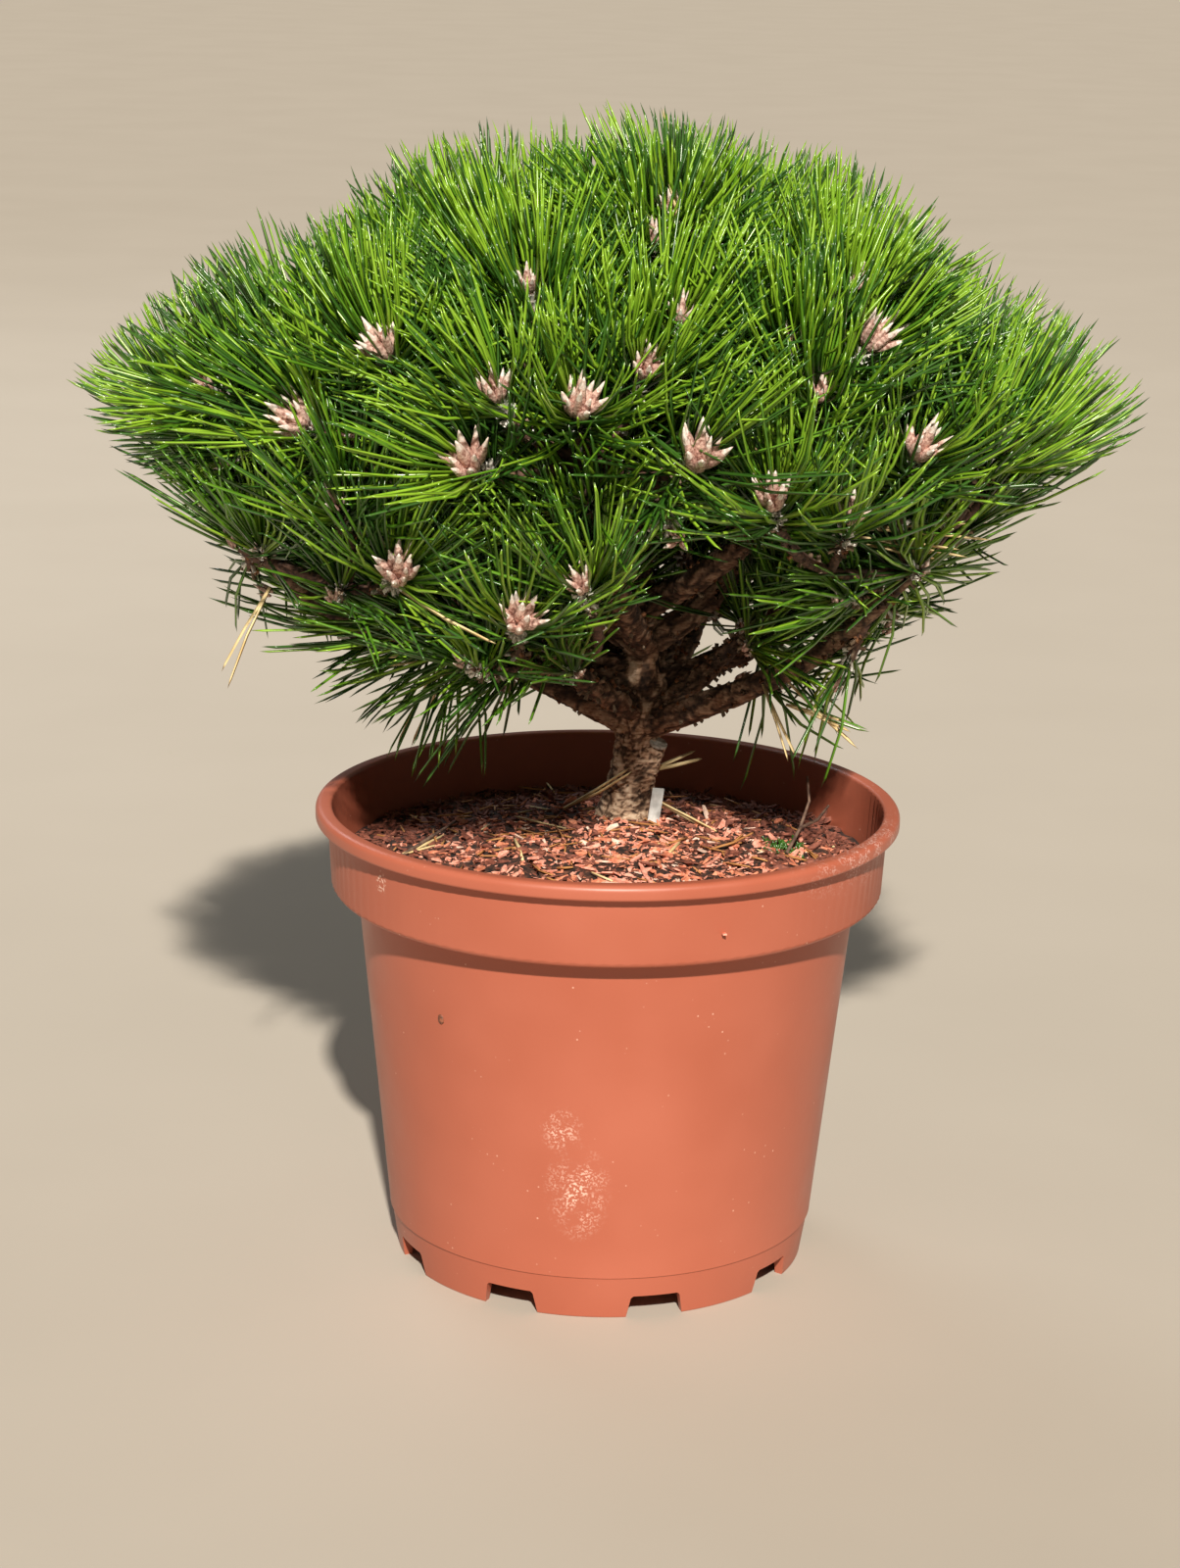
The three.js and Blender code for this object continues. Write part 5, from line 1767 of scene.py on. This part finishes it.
buds = gathered([bud_cluster(shoot, random) for shoot in shoots])
bud_mesh = deal(bud, buds)
face_height = np.array([bud.points[bud.corners[start]][2] for start in bud.starts])
kinds = np.tile((face_height > POINTS_ABOVE).astype(np.int32), len(buds.roots))
bud_mesh.polygons.foreach_set("material_index", kinds)
bud_finishes = [
    mottled("bud_scales", (0.29, 0.13, 0.10), (0.84, 0.58, 0.48), 1.6, 0.6, bump=0.4),
    mottled("bud_points", (0.68, 0.50, 0.42), (0.94, 0.83, 0.75), 1.6, 0.6, bump=0.3),
]
finish_piece("buds", bud_mesh, bud_finishes)

# %% [markdown]
# ## Fallen needles and other litter
#
# Dry needles lie about on the compost in pairs, a few lean on the trunk, and some dead ones still
# hang low in the crown. The ones that stand out in the photograph have named places, and the
# rest are scattered. Short dark and rusty needles, crumbs and a spot of moss fill the ground
# between the chips.

# %% Litter
DRY_PAIRS = [
    ((-23, 34, 226), (14, 14, 253)),
    ((19, 33, 247), (46, 40, 256)),
    ((24, 28, 234), (60, 12, 221)),
    ((36, 10, 222), (80, -14, 219)),
    ((-104, -26, 217), (-80, 10, 219)),
    ((30, -38, 223), (38, -18, 224)),
    ((-42, -52, 223), (-46, -20, 224)),
]
HUNG_PAIRS = [
    ((112, -96, 404), (172, -106, 408)),
    ((116, -96, 400), (164, -108, 398)),
    ((120, -94, 396), (154, -104, 392)),
    ((84, -34, 318), (120, -46, 284)),
    ((76, -34, 312), (92, -42, 276)),
    ((88, -36, 302), (118, -48, 297)),
    ((-166, -70, 364), (-192, -76, 324)),
]
DRY_RADIUS, HUNG_RADIUS = 1.15, 1.0
PAIR_PARTED = (2, -3, -3)
LITTER_COUNT = 170
LITTER_LENGTHS = (9, 16, 30, 55)
LENGTH_SHARES = (0.5, 0.34, 0.13, 0.03)
STRAW_SHARE = 0.16
MOSS_PLACE = (92, -2)
MOSS_COUNT = 110


def lying(starts, ends, width, kind, spread, random):
    """Copies that lie from one place to another."""
    starts, ends = np.array(starts, float), np.array(ends, float)
    count = len(starts)
    lines = ends - starts
    return SimpleNamespace(
        roots=starts, ways=lines + random.normal(0, spread, (count, 3)),
        sides=random.normal(0, 1, (count, 3)) + (0, 0, 0.01), lengths=np.linalg.norm(lines, axis=1),
        widths=width * np.ones(count), depths=width * np.full(count, 0.8),
        bends=random.normal(0, 0.05, (count, 3)), kinds=np.full(count, kind),
    )


random = np.random.default_rng(47)
starts = [pair[0] for pair in DRY_PAIRS + HUNG_PAIRS]
ends = [pair[1] for pair in DRY_PAIRS + HUNG_PAIRS]
widths = np.array([DRY_RADIUS] * len(DRY_PAIRS) + [HUNG_RADIUS] * len(HUNG_PAIRS))
second_ends = np.array(ends) + PAIR_PARTED
litter_roots = scattered(random, LITTER_COUNT, COMPOST_RADIUS - 16) + (0, 0, 1.6)
litter_ways = random_ways(random, LITTER_COUNT, 0.08)
litter_lengths = random.choice(LITTER_LENGTHS, LITTER_COUNT, p=LENGTH_SHARES)
litter_ends = litter_roots + litter_ways * litter_lengths[:, None]
inside = np.hypot(litter_ends[:, 0], litter_ends[:, 1]) < COMPOST_RADIUS - 4
litter = [
    lying(starts, ends, widths, STRAW, 0.5, random),
    lying(starts, second_ends, widths, STRAW, 1.0, random),
    lying(litter_roots[inside], litter_ends[inside], 0.7, RUST, 0.5, random),
]
litter[2].kinds = random.choice((STRAW, RUST), len(litter[2].roots),
                                p=(STRAW_SHARE, 1 - STRAW_SHARE))
moss_roots = np.array([(*(MOSS_PLACE + random.normal(0, 5, 2)), 0) for i in range(MOSS_COUNT)])
moss_roots[:, 2] = [ground_height(x, y) for x, y, z in moss_roots]
moss_tips = moss_roots + random.normal(0, 1.6, (MOSS_COUNT, 3)) + (0, 0, 2.5)
litter.append(lying(moss_roots, moss_tips, 0.9, DEEP_AND_SHADED, 0.3, random))
finish_piece("needle_litter", deal(needle, gathered(litter)), needle_finishes)

# %% [markdown]
# A thin, forked dry twig stands in the compost at the right. Two more lie on the chips, one at the
# left and one at the front right.

# %% Dry twigs
DRY_TWIGS = [
    [(92, -14, 218), (99, -2, 228), (104, 8, 240), (103, 16, 251)],
    [(99, -2, 228), (108, -8, 235), (113, -10, 243)],
    [(-106, -30, 216), (-90, -2, 220), (-78, 22, 222)],
    [(58, -72, 218), (80, -60, 219), (96, -54, 217)],
]
dry_tubes = new_tubes(6)
for points in DRY_TWIGS:
    add_tube(dry_tubes, points, np.linspace(1.1, 0.6, len(points)))
dry_bark = mottled("dry_twig", (0.07, 0.035, 0.025), (0.20, 0.12, 0.08), 3, 0.85, bump=0.3)
dry_mesh = evaluated(dry_tubes)
dry_mesh.materials.clear()
finish_piece("dry_twigs", dry_mesh, [dry_bark])

# %% [markdown]
# ## Floor and light
#
# The plant stands on a plain pale floor that runs far back. In the photograph strong light comes
# from the front, high up and slightly from the right, so a sun lamp shines from there. It is a
# little broad, which softens the edges of the shadows. Weak light from all round fills the shade,
# and a lamp behind keeps the back readable.

# %% Floor
FLOOR_REACH = 60

floor_shape = bmesh.new()
bmesh.ops.create_grid(floor_shape, x_segments=1, y_segments=1, size=FLOOR_REACH)
floor_mesh = mesh_of(floor_shape, smooth=False)
floor_mesh.materials.append(
    mottled("pale_floor", (0.473, 0.416, 0.349), (0.487, 0.429, 0.361), 240, 0.85))
floor = bpy.data.objects.new("floor", floor_mesh)
bpy.context.scene.collection.objects.link(floor)
floor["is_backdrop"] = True

# %% Lights
LIGHT_AIM = Vector((0, 0, 0.32))
KEY_WAY = Vector((0.28, -4.1, 3.3))
KEY = dict(energy=5.5, angle=0.035, color=(1.0, 0.95, 0.86))
BACK_OFFSET = Vector((-1.6, 2.6, 2.2))
BACK = dict(shape="DISK", size=1.6, energy=26, color=(0.86, 0.93, 1.0))
SKY_COLOUR = (0.90, 0.87, 0.76, 1)
SKY_STRENGTH = 0.13


def add_lamp(name, kind, way, standing, **settings):
    """A lamp that stands at a place and shines against the given way."""
    lamp = bpy.data.lights.new(name, kind)
    for key, value in settings.items():
        setattr(lamp, key, value)
    holder = bpy.data.objects.new(name, lamp)
    facing = way.to_track_quat("Z", "Y").to_matrix().to_4x4()
    holder.matrix_world = Matrix.Translation(standing) @ facing
    bpy.context.scene.collection.objects.link(holder)


add_lamp("key", "SUN", KEY_WAY, Vector(), **KEY)
add_lamp("back", "AREA", BACK_OFFSET, LIGHT_AIM + BACK_OFFSET, **BACK)

world = bpy.data.worlds.new("studio")
world.use_nodes = True
sky = world.node_tree.nodes["Background"]
sky.inputs["Color"].default_value = SKY_COLOUR
sky.inputs["Strength"].default_value = SKY_STRENGTH
bpy.context.scene.world = world
bpy.context.scene.view_settings.view_transform = "Standard"
print("lights:", [light.name for light in bpy.data.lights])

# %% [markdown]
# Last, the finished plant's box and the CAD model's box are both printed. The needles may stand
# out of the CAD box by a few millimetres, and nothing else may.

# %% Print the boxes
visual_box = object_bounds()
for label, box in (("CAD", cad_box), ("finished", visual_box)):
    print(label, "box in millimetres:", [tuple(round(x / MM, 1) for x in corner) for corner in box])
